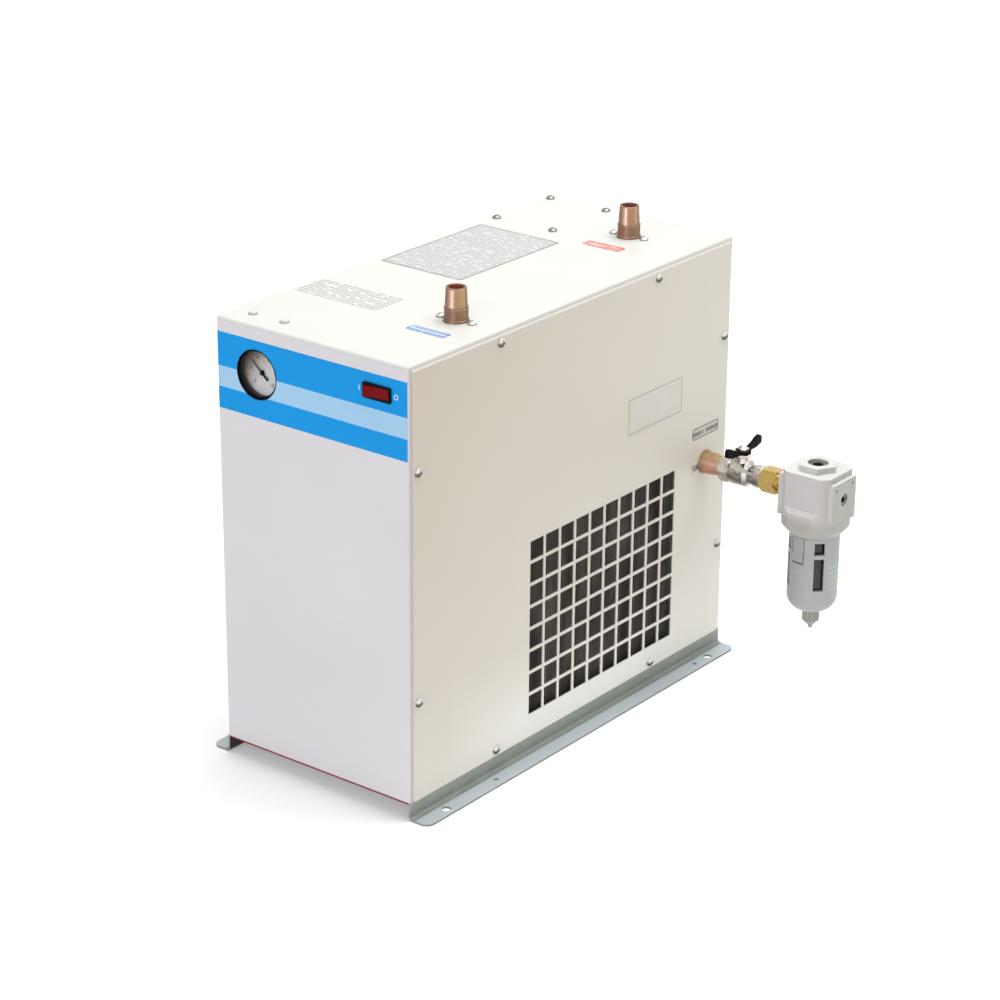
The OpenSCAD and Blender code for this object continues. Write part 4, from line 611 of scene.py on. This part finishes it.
def red_oxide(name, color, painted_shade):
    """Matt red primer on the front and rear edges; every other face is painted near-black shade."""
    f = Finish(name, color, 0.7)
    f.set("Specular IOR Level", 0.2)
    patch = f.noise(40, 4)
    red = f.clouded(patch, color, 0.85, 1.15)
    # Faces not edge-on to Y take the painted near-black shade.
    edge = f.math("ABSOLUTE", f.facing("Y"))
    f.drive("Base Color", f.mix(f.spread(edge, 0, 1, 0.4, 0.8), painted_shade, red))
    f.uneven(patch, 0.6, 0.8)
    f.grain(900, 0.06)
    return f.material


def pipe_bronze(name, stops, glint, streak, bore=None):
    """Turned bronze pipe: bands around it of painted highlight and shade over its own pink and brassy
    tones, painted light in the bore, streaked along it, bright on rubbed edges.
    """
    f = Finish(name, stops[2][1], 0.32, 0.9)
    rim = f.rounded(0.4)
    # Bands around the pipe: painted highlight and shade over its own tones.
    ring = f.bands(f.towards(PAINTED_LIGHT_ACROSS), -1, 1, stops)
    stain = f.spread(f.noise(130, 5, f.stretched((1, 1, streak))), 0, 1)
    film = f.blend(stain, 0.35, ring, stops[1][1])
    # Walls that face the pipe's axis take a lighter painted light.
    if bore is not None:
        centre, bore_light = bore
        film = f.mix(f.inward(centre), film, bore_light)
    f.drive("Base Color", f.blend(rim, 0.7, film, glint))
    f.uneven(stain, 0.38, 0.26, 0, 1)
    f.grain(1300, 0.03, 0.5, 3)
    return f.material


def drain_bronze(name, stops, around, length):
    """Bronze nipple lying along X: a dark ring at the panel, then brassy, pink and brassy again, with
    painted shade underneath and a painted highlight above.
    """
    f = Finish(name, stops[3][1], 0.4, 0.8)
    rim = f.rounded(0.4)
    along = f.bands(f.axis("X"), SIDE_X, SIDE_X + length, stops)
    # Bands by slope: painted shade underneath, painted highlight above, and the pipe's own tones.
    around_light = f.bands(f.facing("Z"), -1, 1, around)
    stain = f.spread(f.noise(150, 5, f.stretched((0.5, 1, 1))), 0, 1)
    painted_light_and_tones = f.blend(stain, 0.3, f.mix(0.55, along, around_light), stops[2][1])
    f.drive("Base Color", f.blend(rim, 0.4, painted_light_and_tones, shade(stops[3][1], 1.3)))
    f.uneven(stain, 0.48, 0.34, 0, 1)
    f.grain(1300, 0.05, 0.6, 3)
    return f.material


def turned_metal(name, color, roughness, stain):
    """Machined and plated metal with fine tool marks and a light film of handling."""
    f = Finish(name, color, roughness, 1.0)
    rim = f.rounded(0.35)
    film = f.noise(60, 4)
    plating = f.clouded(film, color, stain, 1.05)
    f.drive("Base Color", f.blend(rim, 0.5, plating, shade(color, 1.3)))
    f.uneven(film, roughness - 0.08, roughness + 0.1)
    f.grain(2600, 0.02, 0.6)
    return f.material


def chrome(name, stops):
    """Bright plating with a painted reflection of a room: light and dark bands by slope, broken by small
    dents.
    """
    f = Finish(name, stops[-1][1], 0.22, 1.0)
    rim = f.rounded(0.35)
    dents = f.spread(f.noise(70, 2), -0.15, 0.15)
    # Painted reflection: light and dark bands by slope.
    mirror = f.bands(f.math("ADD", f.facing("Z"), dents), -1, 1, stops)
    f.drive("Base Color", f.blend(rim, 0.5, mirror, CHROME_EDGE))
    f.uneven(f.noise(60, 4), 0.18, 0.34)
    f.grain(600, 0.03, 0.5)
    return f.material


def screw_steel(name, stops, dull=None):
    """Plated screw heads: painted highlight and shade by slope, with a light film; dull heads lie where a
    mask is 1.
    """
    f = Finish(name, stops[-1][1], 0.3, 0.8)
    rim = f.rounded(0.25)
    # Painted highlight and shade by slope.
    head = f.bands(f.facing("Z"), -1, 1, stops)
    if dull is not None:
        mask, tone = dull
        head = f.mix(mask(f), head, tone)
    film = f.noise(300, 4)
    plating = f.blend(f.spread(film, 0, 1), 0.35, head, shade(stops[1][1], 0.8))
    f.drive("Base Color", f.blend(rim, 0.35, plating, SCREW_EDGE))
    f.uneven(film, 0.24, 0.42)
    f.grain(1800, 0.02, 0.5)
    return f.material


def capped(name, stops):
    """White painted round heads, painted shade grey towards their foot, with faint dust."""
    f = Finish(name, stops[-1][1], 0.4)
    # Painted shade grey down the sides.
    head = f.bands(f.facing("Z"), -0.2, 1, stops)
    dust = f.spread(f.noise(400, 3), 0, 0.2)
    f.drive("Base Color", f.mix(dust, head, stops[1][1]))
    f.uneven(f.noise(200, 2), 0.35, 0.5)
    f.grain(1500, 0.02, 0.4)
    return f.material


def dial_print(name, stops):
    """Matt dial, shaded by the case towards its upper left."""
    f = Finish(name, stops[0][1], 0.5)
    f.set("Specular IOR Level", 0.2)
    shade_x, shade_z = DIAL_SHADE
    across = f.math("MULTIPLY", f.math("SUBTRACT", f.axis("X"), GAUGE.x), shade_x)
    upward = f.math("MULTIPLY", f.math("SUBTRACT", f.axis("Z"), GAUGE.z), shade_z)
    reach = DIAL_R * MM
    face = f.bands(f.math("ADD", across, upward), -reach, reach, stops)
    paper = f.spread(f.noise(300, 3), 0, 0.06)
    f.drive("Base Color", f.mix(paper, face, shade(stops[0][1], 0.8)))
    f.uneven(f.noise(200, 2), 0.45, 0.6)
    f.grain(900, 0.02, 0.4)
    return f.material


def surround_black(name, stops):
    """Black ring in the gauge that picks up a brown glow close to the dial."""
    f = Finish(name, stops[0][1], 0.55)
    f.set("Specular IOR Level", 0.05)
    wall = f.bands(f.axis("Y"), high("gauge_lens").y, DIAL_Y, stops)
    f.drive("Base Color", f.mix(f.spread(f.noise(400, 3), 0, 0.15), wall, stops[0][1]))
    f.uneven(f.noise(300, 2), 0.48, 0.62)
    f.grain(1500, 0.02, 0.4)
    return f.material


def moulded(name, color, roughness, shine=0.5, grain=2200):
    """Moulded plastic with a fine spark-eroded grain."""
    f = Finish(name, color, roughness)
    f.set("Specular IOR Level", shine)
    rim = f.rounded(0.4)
    body = f.clouded(f.noise(45, 3), color, 0.94, 1.06)
    f.drive("Base Color", f.blend(rim, 0.4, body, shade(color, 1.5)))
    f.uneven(f.noise(160, 3), roughness - 0.06, roughness + 0.08)
    f.grain(grain, 0.03, 0.6)
    return f.material


def clear(name, color, roughness=0.02, ior=1.49, shine=0.5):
    """Clear moulding: a faint haze and a trace of ripple."""
    f = Finish(name, color, roughness)
    f.set("Transmission Weight", 1.0)
    f.set("IOR", ior)
    f.set("Specular IOR Level", shine)
    f.uneven(f.noise(200, 3), roughness, roughness + 0.02)
    f.grain(70, 0.01, 0.4, 1)
    return f.material


def rubbery(name, color):
    """Matt rubber or foam with a coarse, patchy skin."""
    f = Finish(name, color, 0.75)
    f.drive("Base Color", f.clouded(f.noise(90, 4), color, 0.8, 1.4))
    f.grain(700, 0.1, detail=3)
    return f.material


def fin_metal(name, color):
    """Dark coated fins, dusty along their front edges."""
    f = Finish(name, color, 0.5, 0.4)
    dust = f.noise(60, 4, f.stretched((1, 1, 0.2)))
    f.drive("Base Color", f.clouded(dust, color, 0.55, 1.6))
    f.uneven(dust, 0.4, 0.65)
    f.grain(500, 0.08)
    return f.material


def striped_film(name, dark, pale):
    """Printed film: a pale band between two dark ones, split by height."""
    f = Finish(name, dark, 0.3)
    f.set("Specular IOR Level", 0.12)
    z = f.axis("Z")
    above = f.math("GREATER_THAN", z, low("stripe_film").z + PALE_FROM_FOOT)
    below = f.math("LESS_THAN", z, high("stripe_film").z - PALE_FROM_TOP)
    ink = f.noise(9, 2)
    deep = f.clouded(ink, dark, 0.985, 1.015)
    light = f.clouded(ink, pale, 0.99, 1.01)
    f.drive("Base Color", f.blend(above, below, deep, light))
    f.uneven(f.noise(14, 2), 0.30, 0.36)
    f.grain(1600, 0.01, 0.3, 1)
    return f.material


# Printed sheet: the axis its lines stack along, the axis they run along, and how often they break
FLAT_PRINT = ("Y", "X", 0.55)
UPRIGHT_PRINT = ("Z", "Y", 1.6)
BAR_FROM = 0.58
GAP_BELOW = 0.42
LINE_SHIFT = 7.3


def tin_plate(name, color, rows=None, lie=FLAT_PRINT):
    """Printed sheet; rows gives the pitch and the ink of plain, broken bars."""
    f = Finish(name, color, 0.4)
    base = f.clouded(f.noise(60, 3), color, 0.97, 1.02)
    if rows is not None:
        pitch, ink = rows
        upward, along, breaks = lie
        lines = f.math("DIVIDE", f.axis(upward), pitch)
        on_line = f.math("GREATER_THAN", f.math("FRACT", lines), BAR_FROM)
        spot = f.add("ShaderNodeCombineXYZ")
        f.join(f.math("MULTIPLY", f.axis(along), breaks / pitch), spot.inputs["X"])
        f.join(f.math("MULTIPLY", f.math("FLOOR", lines), LINE_SHIFT), spot.inputs["Y"])
        broken = f.math("GREATER_THAN", f.noise(1, 2, spot.outputs["Vector"]), GAP_BELOW)
        base = f.blend(on_line, broken, base, ink)
    f.drive("Base Color", base)
    f.uneven(f.noise(90, 2), 0.34, 0.48)
    f.grain(900, 0.02, 0.4)
    return f.material


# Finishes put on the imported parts

def dress(material, *names):
    for name in names:
        mesh = parts[name].data
        mesh.materials.clear()
        mesh.materials.append(material)


def dress_sheet_metal():
    low_front = ((near_floor, FRONT_LOW),)
    grey_far_edges = ((far_edges, COVER_EDGE),)
    # The side panel's painted light: lighter to its lower rear, along its foot and on its top edge.
    side_painted_light = ((fading, SIDE_PAINTED_LIGHT), (near_floor, SIDE_LOW), (top_strip, SIDE_EDGE_HIGHLIGHT))
    front = powder_coat("front_paint", FRONT_GREY, edge_highlight=1.0, sideways_shade=FRONT_BEND_SHADE, painted_light_and_tones=low_front)
    cover = powder_coat("cover_paint", COVER_WHITE, sideways_shade=COVER_LIP_SHADE, painted_light_and_tones=grey_far_edges)
    side = powder_coat("side_paint", SIDE_BEIGE, rounding=1.0, edge_highlight=1.3, painted_light_and_tones=side_painted_light)
    rails = foot_zinc("rail_zinc", WEB_ZINC_SHADED, FLANGE_ZINC_LIT, RAIL_SHADE)
    zinc = galvanised("zinc_sheet", SHEET_ZINC)
    dress(front, "front_panel")
    dress(cover, "top_cover", "rear_panel")
    dress(side, "left_side_panel", "right_side_panel")
    dress(red_oxide("red_oxide", OXIDE_RED, OXIDE_SHADE), "base_plate")
    dress(rails, "left_foot_rail", "right_foot_rail")
    dress(zinc, "gauge_bracket", "condenser_frame", "fan_shroud", "fan_bracket", "exchanger_hanger")
    dress(striped_film("stripe_print", STRIPE_BLUE, STRIPE_PALE), "stripe_film")


def dress_screws():
    dull = (over_the_hanger, DULL_SCREW)
    dress(screw_steel("plated_screws", SIDE_SCREW_LIGHT), "side_screws")
    dress(screw_steel("roof_screws", ROOF_SCREW_LIGHT, dull), "fitting_screws")
    dress(capped("screw_cap", CAP_SHADE_BANDS), "dome_screws")


def dress_pipes():
    outlet = pipe_bronze("outlet_bronze", BODY_TONES_AND_LIGHT, PALE_BRONZE, 0.1, (OUTLET, BORE_PAINTED_LIGHT))
    inlet = pipe_bronze("inlet_bronze", BODY_TONES_AND_LIGHT, PALE_BRONZE, 0.1, (INLET, BORE_PAINTED_LIGHT))
    drain = drain_bronze("drain_bronze", DRAIN_BANDS, AROUND_TONES_AND_LIGHT, low("valve_body").x - SIDE_X)
    copper = turned_metal("copper", COPPER, 0.35, 0.7)
    dress(outlet, "outlet_nipple")
    dress(inlet, "inlet_nipple")
    dress(drain, "drain_nipple")
    dress(copper, "gauge_tube", "condenser_tubes", "inlet_pipe", "outlet_pipe", "drain_pipe")
    dress(copper, "refrigerant_lines", "filter_drier")


def dress_fittings():
    nickel = chrome("nickel_plate", CHROME_REFLECTION)
    dress(nickel, "valve_body", "valve_tailpiece", "valve_ball", "valve_stem", "valve_gland", "handle_nut")
    dress(turned_metal("brass", BRASS, 0.22, 0.86), "gauge_socket", "hex_adapter", "bypass_valve")
    dress(turned_metal("plug_steel", PLUG_STEEL, 0.25, 0.35), "port_plugs")
    dress(cast_coat("cast_paint", CAST_FRONT, CAST_SHADED_SIDE, CAST_LIT_TOP, CAST_SHADED), "drain_head")


def dress_plastics():
    dull_black = moulded("dull_black", DULL_BLACK, 0.5, shine=0.05)
    black = moulded("black_plastic", PLAIN_BLACK, 0.38, shine=0.2)
    guard = moulded("guard_grey", GUARD_GREY, 0.42, shine=0.4, grain=1500)
    dress(dull_black, "gauge_case", "gauge_needle", "switch_housing", "valve_handle")
    dress(black, "fan_rotor", "terminal_cover", "cable_gland")
    dress(guard, "bowl_guard", "lock_button")
    dress(moulded("rocker_red", ROCKER_RED, 0.3, shine=0.06), "switch_rocker")
    dress(moulded("cock_grey", COCK_GREY, 0.45), "drain_cock")
    dress(moulded("grey_plastic", BOX_GREY, 0.5), "terminal_box")
    dress(moulded("white_plastic", FLOAT_WHITE, 0.4), "float")
    dress(dial_print("dial_face", DIAL_BANDS), "gauge_dial")
    dress(clear("gauge_glass", LENS_CLEAR, ior=1.1, shine=0.03), "gauge_lens")
    dress(clear("smoked_bowl", BOWL_SMOKE, roughness=0.05), "clear_bowl")


def dress_inside():
    shell = powder_coat("shell_black", SHELL_BLACK, grain=900, roughness=0.3)
    dress(shell, "compressor", "fan_motor")
    dress(fin_metal("fins", FIN_GREY), "condenser_fins")
    dress(rubbery("foot_rubber", RUBBER_BLACK), "compressor_feet")
    dress(rubbery("foam_jacket", FOAM_BLACK), "heat_exchanger")


# Mesh tools; sizes come in mm

MERGE = 1e-7
FACE_FRONT = Matrix.Rotation(math.radians(90), 4, "X")
FACE_SIDE = Matrix.Rotation(math.radians(90), 4, "Z") @ FACE_FRONT
CORNER_STEPS = 5


def finish_mesh(name, bm, smooth=None):
    """Turns a bmesh into a named object at the origin; smooth is the angle that still shades as round."""
    bmesh.ops.recalc_face_normals(bm, faces=bm.faces)
    if smooth is not None:
        for face in bm.faces:
            face.smooth = True
        for edge in bm.edges:
            if len(edge.link_faces) == 2:
                edge.smooth = edge.calc_face_angle() < math.radians(smooth)
    mesh = bpy.data.meshes.new(name)
    bm.to_mesh(mesh)
    bm.free()
    piece = bpy.data.objects.new(name, mesh)
    bpy.context.scene.collection.objects.link(piece)
    return piece


def own(piece, material, body):
    piece.data.materials.append(material)
    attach(piece, body)


def set_in(bm, place, turn=None):
    """Moves a finished bmesh from the drawing's origin to its place on the object."""
    matrix = Matrix.Translation(place)
    if turn is not None:
        matrix = matrix @ turn
    bmesh.ops.transform(bm, matrix=matrix, verts=bm.verts)


def joined(target, other):
    """Adds one bmesh's shells to another's."""
    spare = bpy.data.meshes.new("spare")
    other.to_mesh(spare)
    other.free()
    target.from_mesh(spare)
    bpy.data.meshes.remove(spare)


def turned(profile, steps):
    """Spins a closed (r, z) outline about +Z into a ring."""
    bm = bmesh.new()
    verts = [bm.verts.new((r * MM, 0, z * MM)) for r, z in profile]
    edges = [bm.edges.new(pair) for pair in zip(verts, verts[1:] + verts[:1])]
    bmesh.ops.spin(
        bm, geom=verts + edges, cent=(0, 0, 0), axis=(0, 0, 1), angle=FULL_TURN, steps=steps, use_merge=True
    )
    bmesh.ops.remove_doubles(bm, verts=bm.verts, dist=MERGE)
    bmesh.ops.recalc_face_normals(bm, faces=bm.faces)
    return bm


def plate(width, height, thick, corner, outline=None):
    """Thin plate lying in XY on z = 0, with round corners and, if asked, a printed line around it."""
    bm = bmesh.new()
    bmesh.ops.create_grid(bm, x_segments=1, y_segments=1, size=0.5)
    bmesh.ops.scale(bm, vec=(width * MM, height * MM, 1), verts=bm.verts)
    bmesh.ops.bevel(
        bm, geom=bm.verts[:], offset=corner * MM, segments=CORNER_STEPS, profile=0.5, affect="VERTICES",
        material=-1
    )
    grown = bmesh.ops.extrude_face_region(bm, geom=bm.faces[:])
    lifted = [item for item in grown["geom"] if isinstance(item, bmesh.types.BMVert)]
    bmesh.ops.translate(bm, vec=(0, 0, thick * MM), verts=lifted)
    bmesh.ops.recalc_face_normals(bm, faces=bm.faces)
    top = max(bm.faces, key=lambda face: face.calc_center_median().z)
    if outline is not None:
        margin, line = outline
        bmesh.ops.inset_region(bm, faces=[top], thickness=margin * MM)
        ring = bmesh.ops.inset_region(bm, faces=[top], thickness=line * MM)
        for face in ring["faces"]:
            face.material_index = 1
    return bm


# Threads on the two pipe connections; heights in mm above the roof

THREAD_LOW = 13.8
THREAD_HIGH = 31.1
THREAD_PITCH = 1.81
THREAD_DEPTH = 0.2
ROOT_LOW = 10.30
ROOT_HIGH = 9.57
SLEEVE_BORE = 8.8
THREAD_STEPS = 48
THREAD_MERGE = 1e-6
SPARE_TEETH = 4

# A tooth's points: shares of the depth and of the pitch
TOOTH = ((0, 0), (0, 0.12), (1, 0.46), (1, 0.64))


def tooth_coil():
    """A row of teeth, longer than the thread, spun up by one pitch in a turn."""
    bm = bmesh.new()
    verts = []
    for tooth in range(int((THREAD_HIGH - THREAD_LOW) / THREAD_PITCH) + SPARE_TEETH):
        foot = THREAD_LOW - SPARE_TEETH / 2 * THREAD_PITCH + tooth * THREAD_PITCH
        for out, up in TOOTH:
            radius = ROOT_LOW + out * THREAD_DEPTH
            verts.append(bm.verts.new((radius * MM, 0, (foot + up * THREAD_PITCH) * MM)))
    edges = [bm.edges.new(pair) for pair in zip(verts, verts[1:])]
    rise = Vector((0, 0, THREAD_PITCH * MM / THREAD_STEPS))
    bmesh.ops.spin(
        bm, geom=verts + edges, cent=(0, 0, 0), axis=(0, 0, 1), dvec=rise, angle=FULL_TURN,
        steps=THREAD_STEPS
    )
    bmesh.ops.remove_doubles(bm, verts=bm.verts, dist=THREAD_MERGE)
    return bm


def taper(bm):
    """Narrows the coil evenly from the root at its foot to the root at its tip."""
    for vert in bm.verts:
        along = (vert.co.z / MM - THREAD_LOW) / (THREAD_HIGH - THREAD_LOW)
        narrow = 1 + (ROOT_HIGH / ROOT_LOW - 1) * along
        vert.co.x *= narrow
        vert.co.y *= narrow


def trim_ends(bm):
    for height, outward in ((THREAD_LOW, -1), (THREAD_HIGH, 1)):
        everything = bm.verts[:] + bm.edges[:] + bm.faces[:]
        bmesh.ops.bisect_plane(
            bm, geom=everything, dist=MERGE, plane_co=(0, 0, height * MM), plane_no=(0, 0, outward),
            clear_outer=True
        )
    bmesh.ops.remove_doubles(bm, verts=bm.verts, dist=THREAD_MERGE)


def close_ends(bm):
    """Fills both flat ends in to a bore and joins the two bores by a wall."""
    rims = [edge for edge in bm.edges if edge.is_boundary]
    lower = [e for e in rims if e.verts[0].co.z < (THREAD_LOW + THREAD_HIGH) / 2 * MM]
    upper = [e for e in rims if e not in lower]
    wall = []
    for rim, height in ((lower, THREAD_LOW), (upper, THREAD_HIGH)):
        made = bmesh.ops.create_circle(bm, cap_ends=False, segments=THREAD_STEPS, radius=SLEEVE_BORE * MM)
        bmesh.ops.translate(bm, vec=(0, 0, height * MM), verts=made["verts"])
        inner = list(dict.fromkeys(edge for vert in made["verts"] for edge in vert.link_edges))
        bmesh.ops.triangle_fill(bm, use_beauty=True, use_dissolve=False, edges=rim + inner)
        wall += inner
    bmesh.ops.bridge_loops(bm, edges=wall)
    bmesh.ops.recalc_face_normals(bm, faces=bm.faces)


def pipe_thread(name, place, material):
    bm = tooth_coil()
    taper(bm)
    trim_ends(bm)
    close_ends(bm)
    set_in(bm, place)
    own(finish_mesh(name, bm, 20), material, "cabinet")


def make_threads():
    bronze = pipe_bronze("thread_bronze", THREAD_TONES_AND_LIGHT, PALE_BRONZE, 0.06)
    pipe_thread("outlet_thread", OUTLET, bronze)
    pipe_thread("inlet_thread", INLET, bronze)


# Plates and tags; edges in mm, on the roof in from the right side and along Y, on the side along Y and up

PLATE_THICK = 0.3
TOP_PLATE = (118.5, 217.2, -32, 123)
DATA_PLATE = (123.5, 220.5, -150, -110)
OUTLET_TAG = (26.5, 70.5, -172, -159)
INLET_TAG = (57.2, 101.1, 134.5, 148)
SIDE_PLATE = (77, 168, 279.5, 318)
DRAIN_TAG = (188, 233.5, 242, 255)

# A printed outline's margin and width, and a printed bar's pitch
TOP_LINE = (0.4, 1.8)
TAG_LINE = (0.4, 1.3)
SIDE_LINE = (1.4, 0.5)
DRAIN_LINE = (0.7, 0.9)
TOP_ROWS = 4.6 * MM
DATA_ROWS = 4.4 * MM
TAG_ROWS = 5.4 * MM
DRAIN_ROWS = 10 * MM


def top_plate(name, edges, material, corner=1.0, outline=None, ink=None):
    in_low, in_high, y_low, y_high = edges
    bm = plate(in_high - in_low, y_high - y_low, PLATE_THICK, corner, outline)
    set_in(bm, Vector((SIDE_X - (in_low + in_high) / 2 * MM, (y_low + y_high) / 2 * MM, TOP_Z)))
    piece = finish_mesh(name, bm)
    own(piece, material, "cabinet")
    if ink is not None:
        piece.data.materials.append(ink)


def side_plate(name, edges, material, corner, outline, ink):
    y_low, y_high, z_low, z_high = edges
    bm = plate(y_high - y_low, z_high - z_low, PLATE_THICK, corner, outline)
    set_in(bm, Vector((SIDE_X, (y_low + y_high) / 2 * MM, (z_low + z_high) / 2 * MM)), FACE_SIDE)
    piece = finish_mesh(name, bm)
    own(piece, material, "cabinet")
    piece.data.materials.append(ink)


def roof_plates():
    line_grey = tin_plate("plate_frame", (0.27, 0.28, 0.285))
    grey = tin_plate("plate_grey", (0.64, 0.64, 0.62), (TOP_ROWS, (0.38, 0.38, 0.375)))
    pale = tin_plate("plate_pale", (0.74, 0.74, 0.71), (DATA_ROWS, (0.34, 0.34, 0.34)))
    blue_line = tin_plate("tag_blue_ink", (0.04, 0.19, 0.50))
    blue = tin_plate("tag_blue", (0.60, 0.66, 0.72), (TAG_ROWS, (0.12, 0.28, 0.56)))
    red_line = tin_plate("tag_red_ink", (0.62, 0.07, 0.035))
    red = tin_plate("tag_red", (0.77, 0.47, 0.43), (TAG_ROWS, (0.66, 0.14, 0.10)))
    top_plate("top_plate", TOP_PLATE, grey, 3.0, TOP_LINE, line_grey)
    top_plate("data_plate", DATA_PLATE, pale)
    top_plate("outlet_tag", OUTLET_TAG, blue, 2.0, TAG_LINE, blue_line)
    top_plate("inlet_tag", INLET_TAG, red, 2.0, TAG_LINE, red_line)


def side_plates():
    ink = tin_plate("plate_ink", (0.10, 0.10, 0.10))
    pale = tin_plate("side_plate_pale", (0.69, 0.66, 0.60))
    bar = (DRAIN_ROWS, (0.20, 0.19, 0.17))
    grey = tin_plate("drain_tag_grey", (0.60, 0.57, 0.51), bar, UPRIGHT_PRINT)
    side_plate("side_plate", SIDE_PLATE, pale, 1.5, SIDE_LINE, ink)
    side_plate("drain_tag", DRAIN_TAG, grey, 2.0, DRAIN_LINE, ink)


# Label on the bowl guard; heights in mm above the guard's foot, angles in degrees

LABEL_HEIGHTS = (26, 57)
LABEL_START = -20
LABEL_ARC = 70
LABEL_STEPS = 24
LABEL_GAP = 0.03 * MM
LABEL_THICK = 0.12 * MM
LABEL_ROWS = 6 * MM


def guard_label():
    """Tinted label with plain bars that wraps part of the bowl guard."""
    radius = (high("bowl_guard").x - low("bowl_guard").x) / 2 + LABEL_GAP
    start = math.radians(LABEL_START)
    bm = bmesh.new()
    ends = []
    for height in LABEL_HEIGHTS:
        ends.append(bm.verts.new((radius * math.cos(start), radius * math.sin(start), height * MM)))
    edge = bm.edges.new(ends)
    arc = math.radians(LABEL_ARC)
    bmesh.ops.spin(bm, geom=ends + [edge], cent=(0, 0, 0), axis=(0, 0, 1), angle=arc, steps=LABEL_STEPS)
    bmesh.ops.recalc_face_normals(bm, faces=bm.faces)
    bmesh.ops.solidify(bm, geom=bm.faces[:], thickness=LABEL_THICK)
    set_in(bm, Vector((GUARD.x, GUARD.y, low("bowl_guard").z)))
    rows = (LABEL_ROWS, (0.47, 0.52, 0.47))
    green = tin_plate("label_green", (0.37, 0.45, 0.37), rows, UPRIGHT_PRINT)
    own(finish_mesh("guard_label", bm, 30), green, "bowl")


# Dial of the gauge; sizes in mm, angles in degrees

SCALE_START = 225
SCALE_SWEEP = 270
SCALE_TOP = 10
FIGURE_STEP = 2
TICKS = 50
TICKS_A_MAJOR = 5
MAJOR_TICK = (3.2, 0.55)
MINOR_TICK = (1.7, 0.28)
TICK_IN = 0.8
TICK_THICK = 0.06
FIGURE_IN = 7.0
FIGURE_SIZE = 5.2
FIGURE_THICK = 0.03
FIGURE_BOLD = 0.06
FIGURE_CURVE = 3
RING_IN = 21.5
RING_LIFT = 0.03
RING_GAP = 0.1
RING_LIP = 0.5
RING_STEPS = 96


def dial_surround():
    """Black sloping ring that fills the case between the dial and the glass."""
    depth = (DIAL_Y - high("gauge_lens").y) / MM - RING_GAP
    outer = DIAL_R - RING_GAP
    profile = [(RING_IN, RING_LIFT), (outer, RING_LIFT), (outer, depth), (outer - RING_LIP, depth)]
    bm = turned(profile, RING_STEPS)
    set_in(bm, DIAL_CENTRE, FACE_FRONT)
    shaded = surround_black("surround_black", SURROUND_BANDS)
    own(finish_mesh("dial_surround", bm, 30), shaded, "cabinet")


def scale_angle(share):
    return math.radians(SCALE_START - SCALE_SWEEP * share)


def dial_ticks(ink):
    whole = bmesh.new()
    for tick in range(TICKS + 1):
        length, width = MINOR_TICK if tick % TICKS_A_MAJOR else MAJOR_TICK
        bm = plate(length, width, TICK_THICK, width * 0.2)
        bmesh.ops.translate(bm, vec=((RING_IN - TICK_IN - length / 2) * MM, 0, 0), verts=bm.verts)
        set_in(bm, DIAL_CENTRE, FACE_FRONT @ Matrix.Rotation(scale_angle(tick / TICKS), 4, "Z"))
        joined(whole, bm)
    own(finish_mesh("dial_ticks", whole), ink, "cabinet")


def flat_text(words):
    """Upright figures as a thin mesh, centred on the origin of the XY plane."""
    curve = bpy.data.curves.new("figures", "FONT")
    curve.body = words
    curve.size = FIGURE_SIZE * MM
    curve.align_x = "CENTER"
    curve.align_y = "CENTER"
    curve.extrude = FIGURE_THICK * MM
    curve.offset = FIGURE_BOLD * MM
    curve.resolution_u = FIGURE_CURVE
    holder = bpy.data.objects.new("figures", curve)
    bpy.context.scene.collection.objects.link(holder)
    bpy.context.view_layer.update()
    mesh = bpy.data.meshes.new_from_object(holder)
    bpy.data.objects.remove(holder)
    bm = bmesh.new()
    bm.from_mesh(mesh)
    bpy.data.meshes.remove(mesh)
    bmesh.ops.remove_doubles(bm, verts=bm.verts, dist=MERGE)
    return bm


def dial_figures(ink):
    whole = bmesh.new()
    radius = (RING_IN - FIGURE_IN) * MM
    for value in range(0, SCALE_TOP + 1, FIGURE_STEP):
        angle = scale_angle(value / SCALE_TOP)
        bm = flat_text(str(value))
        set_in(bm, DIAL_CENTRE + radius * Vector((math.cos(angle), 0, math.sin(angle))), FACE_FRONT)
        joined(whole, bm)
    own(finish_mesh("dial_figures", whole), ink, "cabinet")


def make_dial():
    ink = tin_plate("dial_ink", (0.03, 0.03, 0.035))
    dial_surround()
    dial_ticks(ink)
    dial_figures(ink)


# Plain on and off marks beside the rocker; sizes in mm

MARK_GAP = 5
MARK_THICK = 0.08
MARK_LINE = (0.9, 5.0)
MARK_CORNER = 0.3
MARK_RING = (1.7, 2.5)
MARK_STEPS = 32


def switch_marks():
    white = tin_plate("mark_white", (0.80, 0.86, 0.92))
    film_y = low("stripe_film").y
    aside = (high("switch_housing").x - low("switch_housing").x) / 2 + MARK_GAP * MM
    marks = plate(*MARK_LINE, MARK_THICK, MARK_CORNER)
    set_in(marks, Vector((SWITCH.x - aside, film_y, SWITCH.z)), FACE_FRONT)
    inner, outer = MARK_RING
    ring = turned([(inner, 0), (outer, 0), (outer, MARK_THICK), (inner, MARK_THICK)], MARK_STEPS)
    set_in(ring, Vector((SWITCH.x + aside, film_y, SWITCH.z)), FACE_FRONT)
    joined(marks, ring)
    own(finish_mesh("switch_marks", marks), white, "cabinet")


make_camera()
make_world()
make_floor()
make_lamps()

dress_sheet_metal()
dress_screws()
dress_pipes()
dress_fittings()
dress_plastics()
dress_inside()

make_threads()
roof_plates()
side_plates()
guard_label()
make_dial()
switch_marks()

scene_view = bpy.context.scene.view_settings
scene_view.view_transform = "Standard"
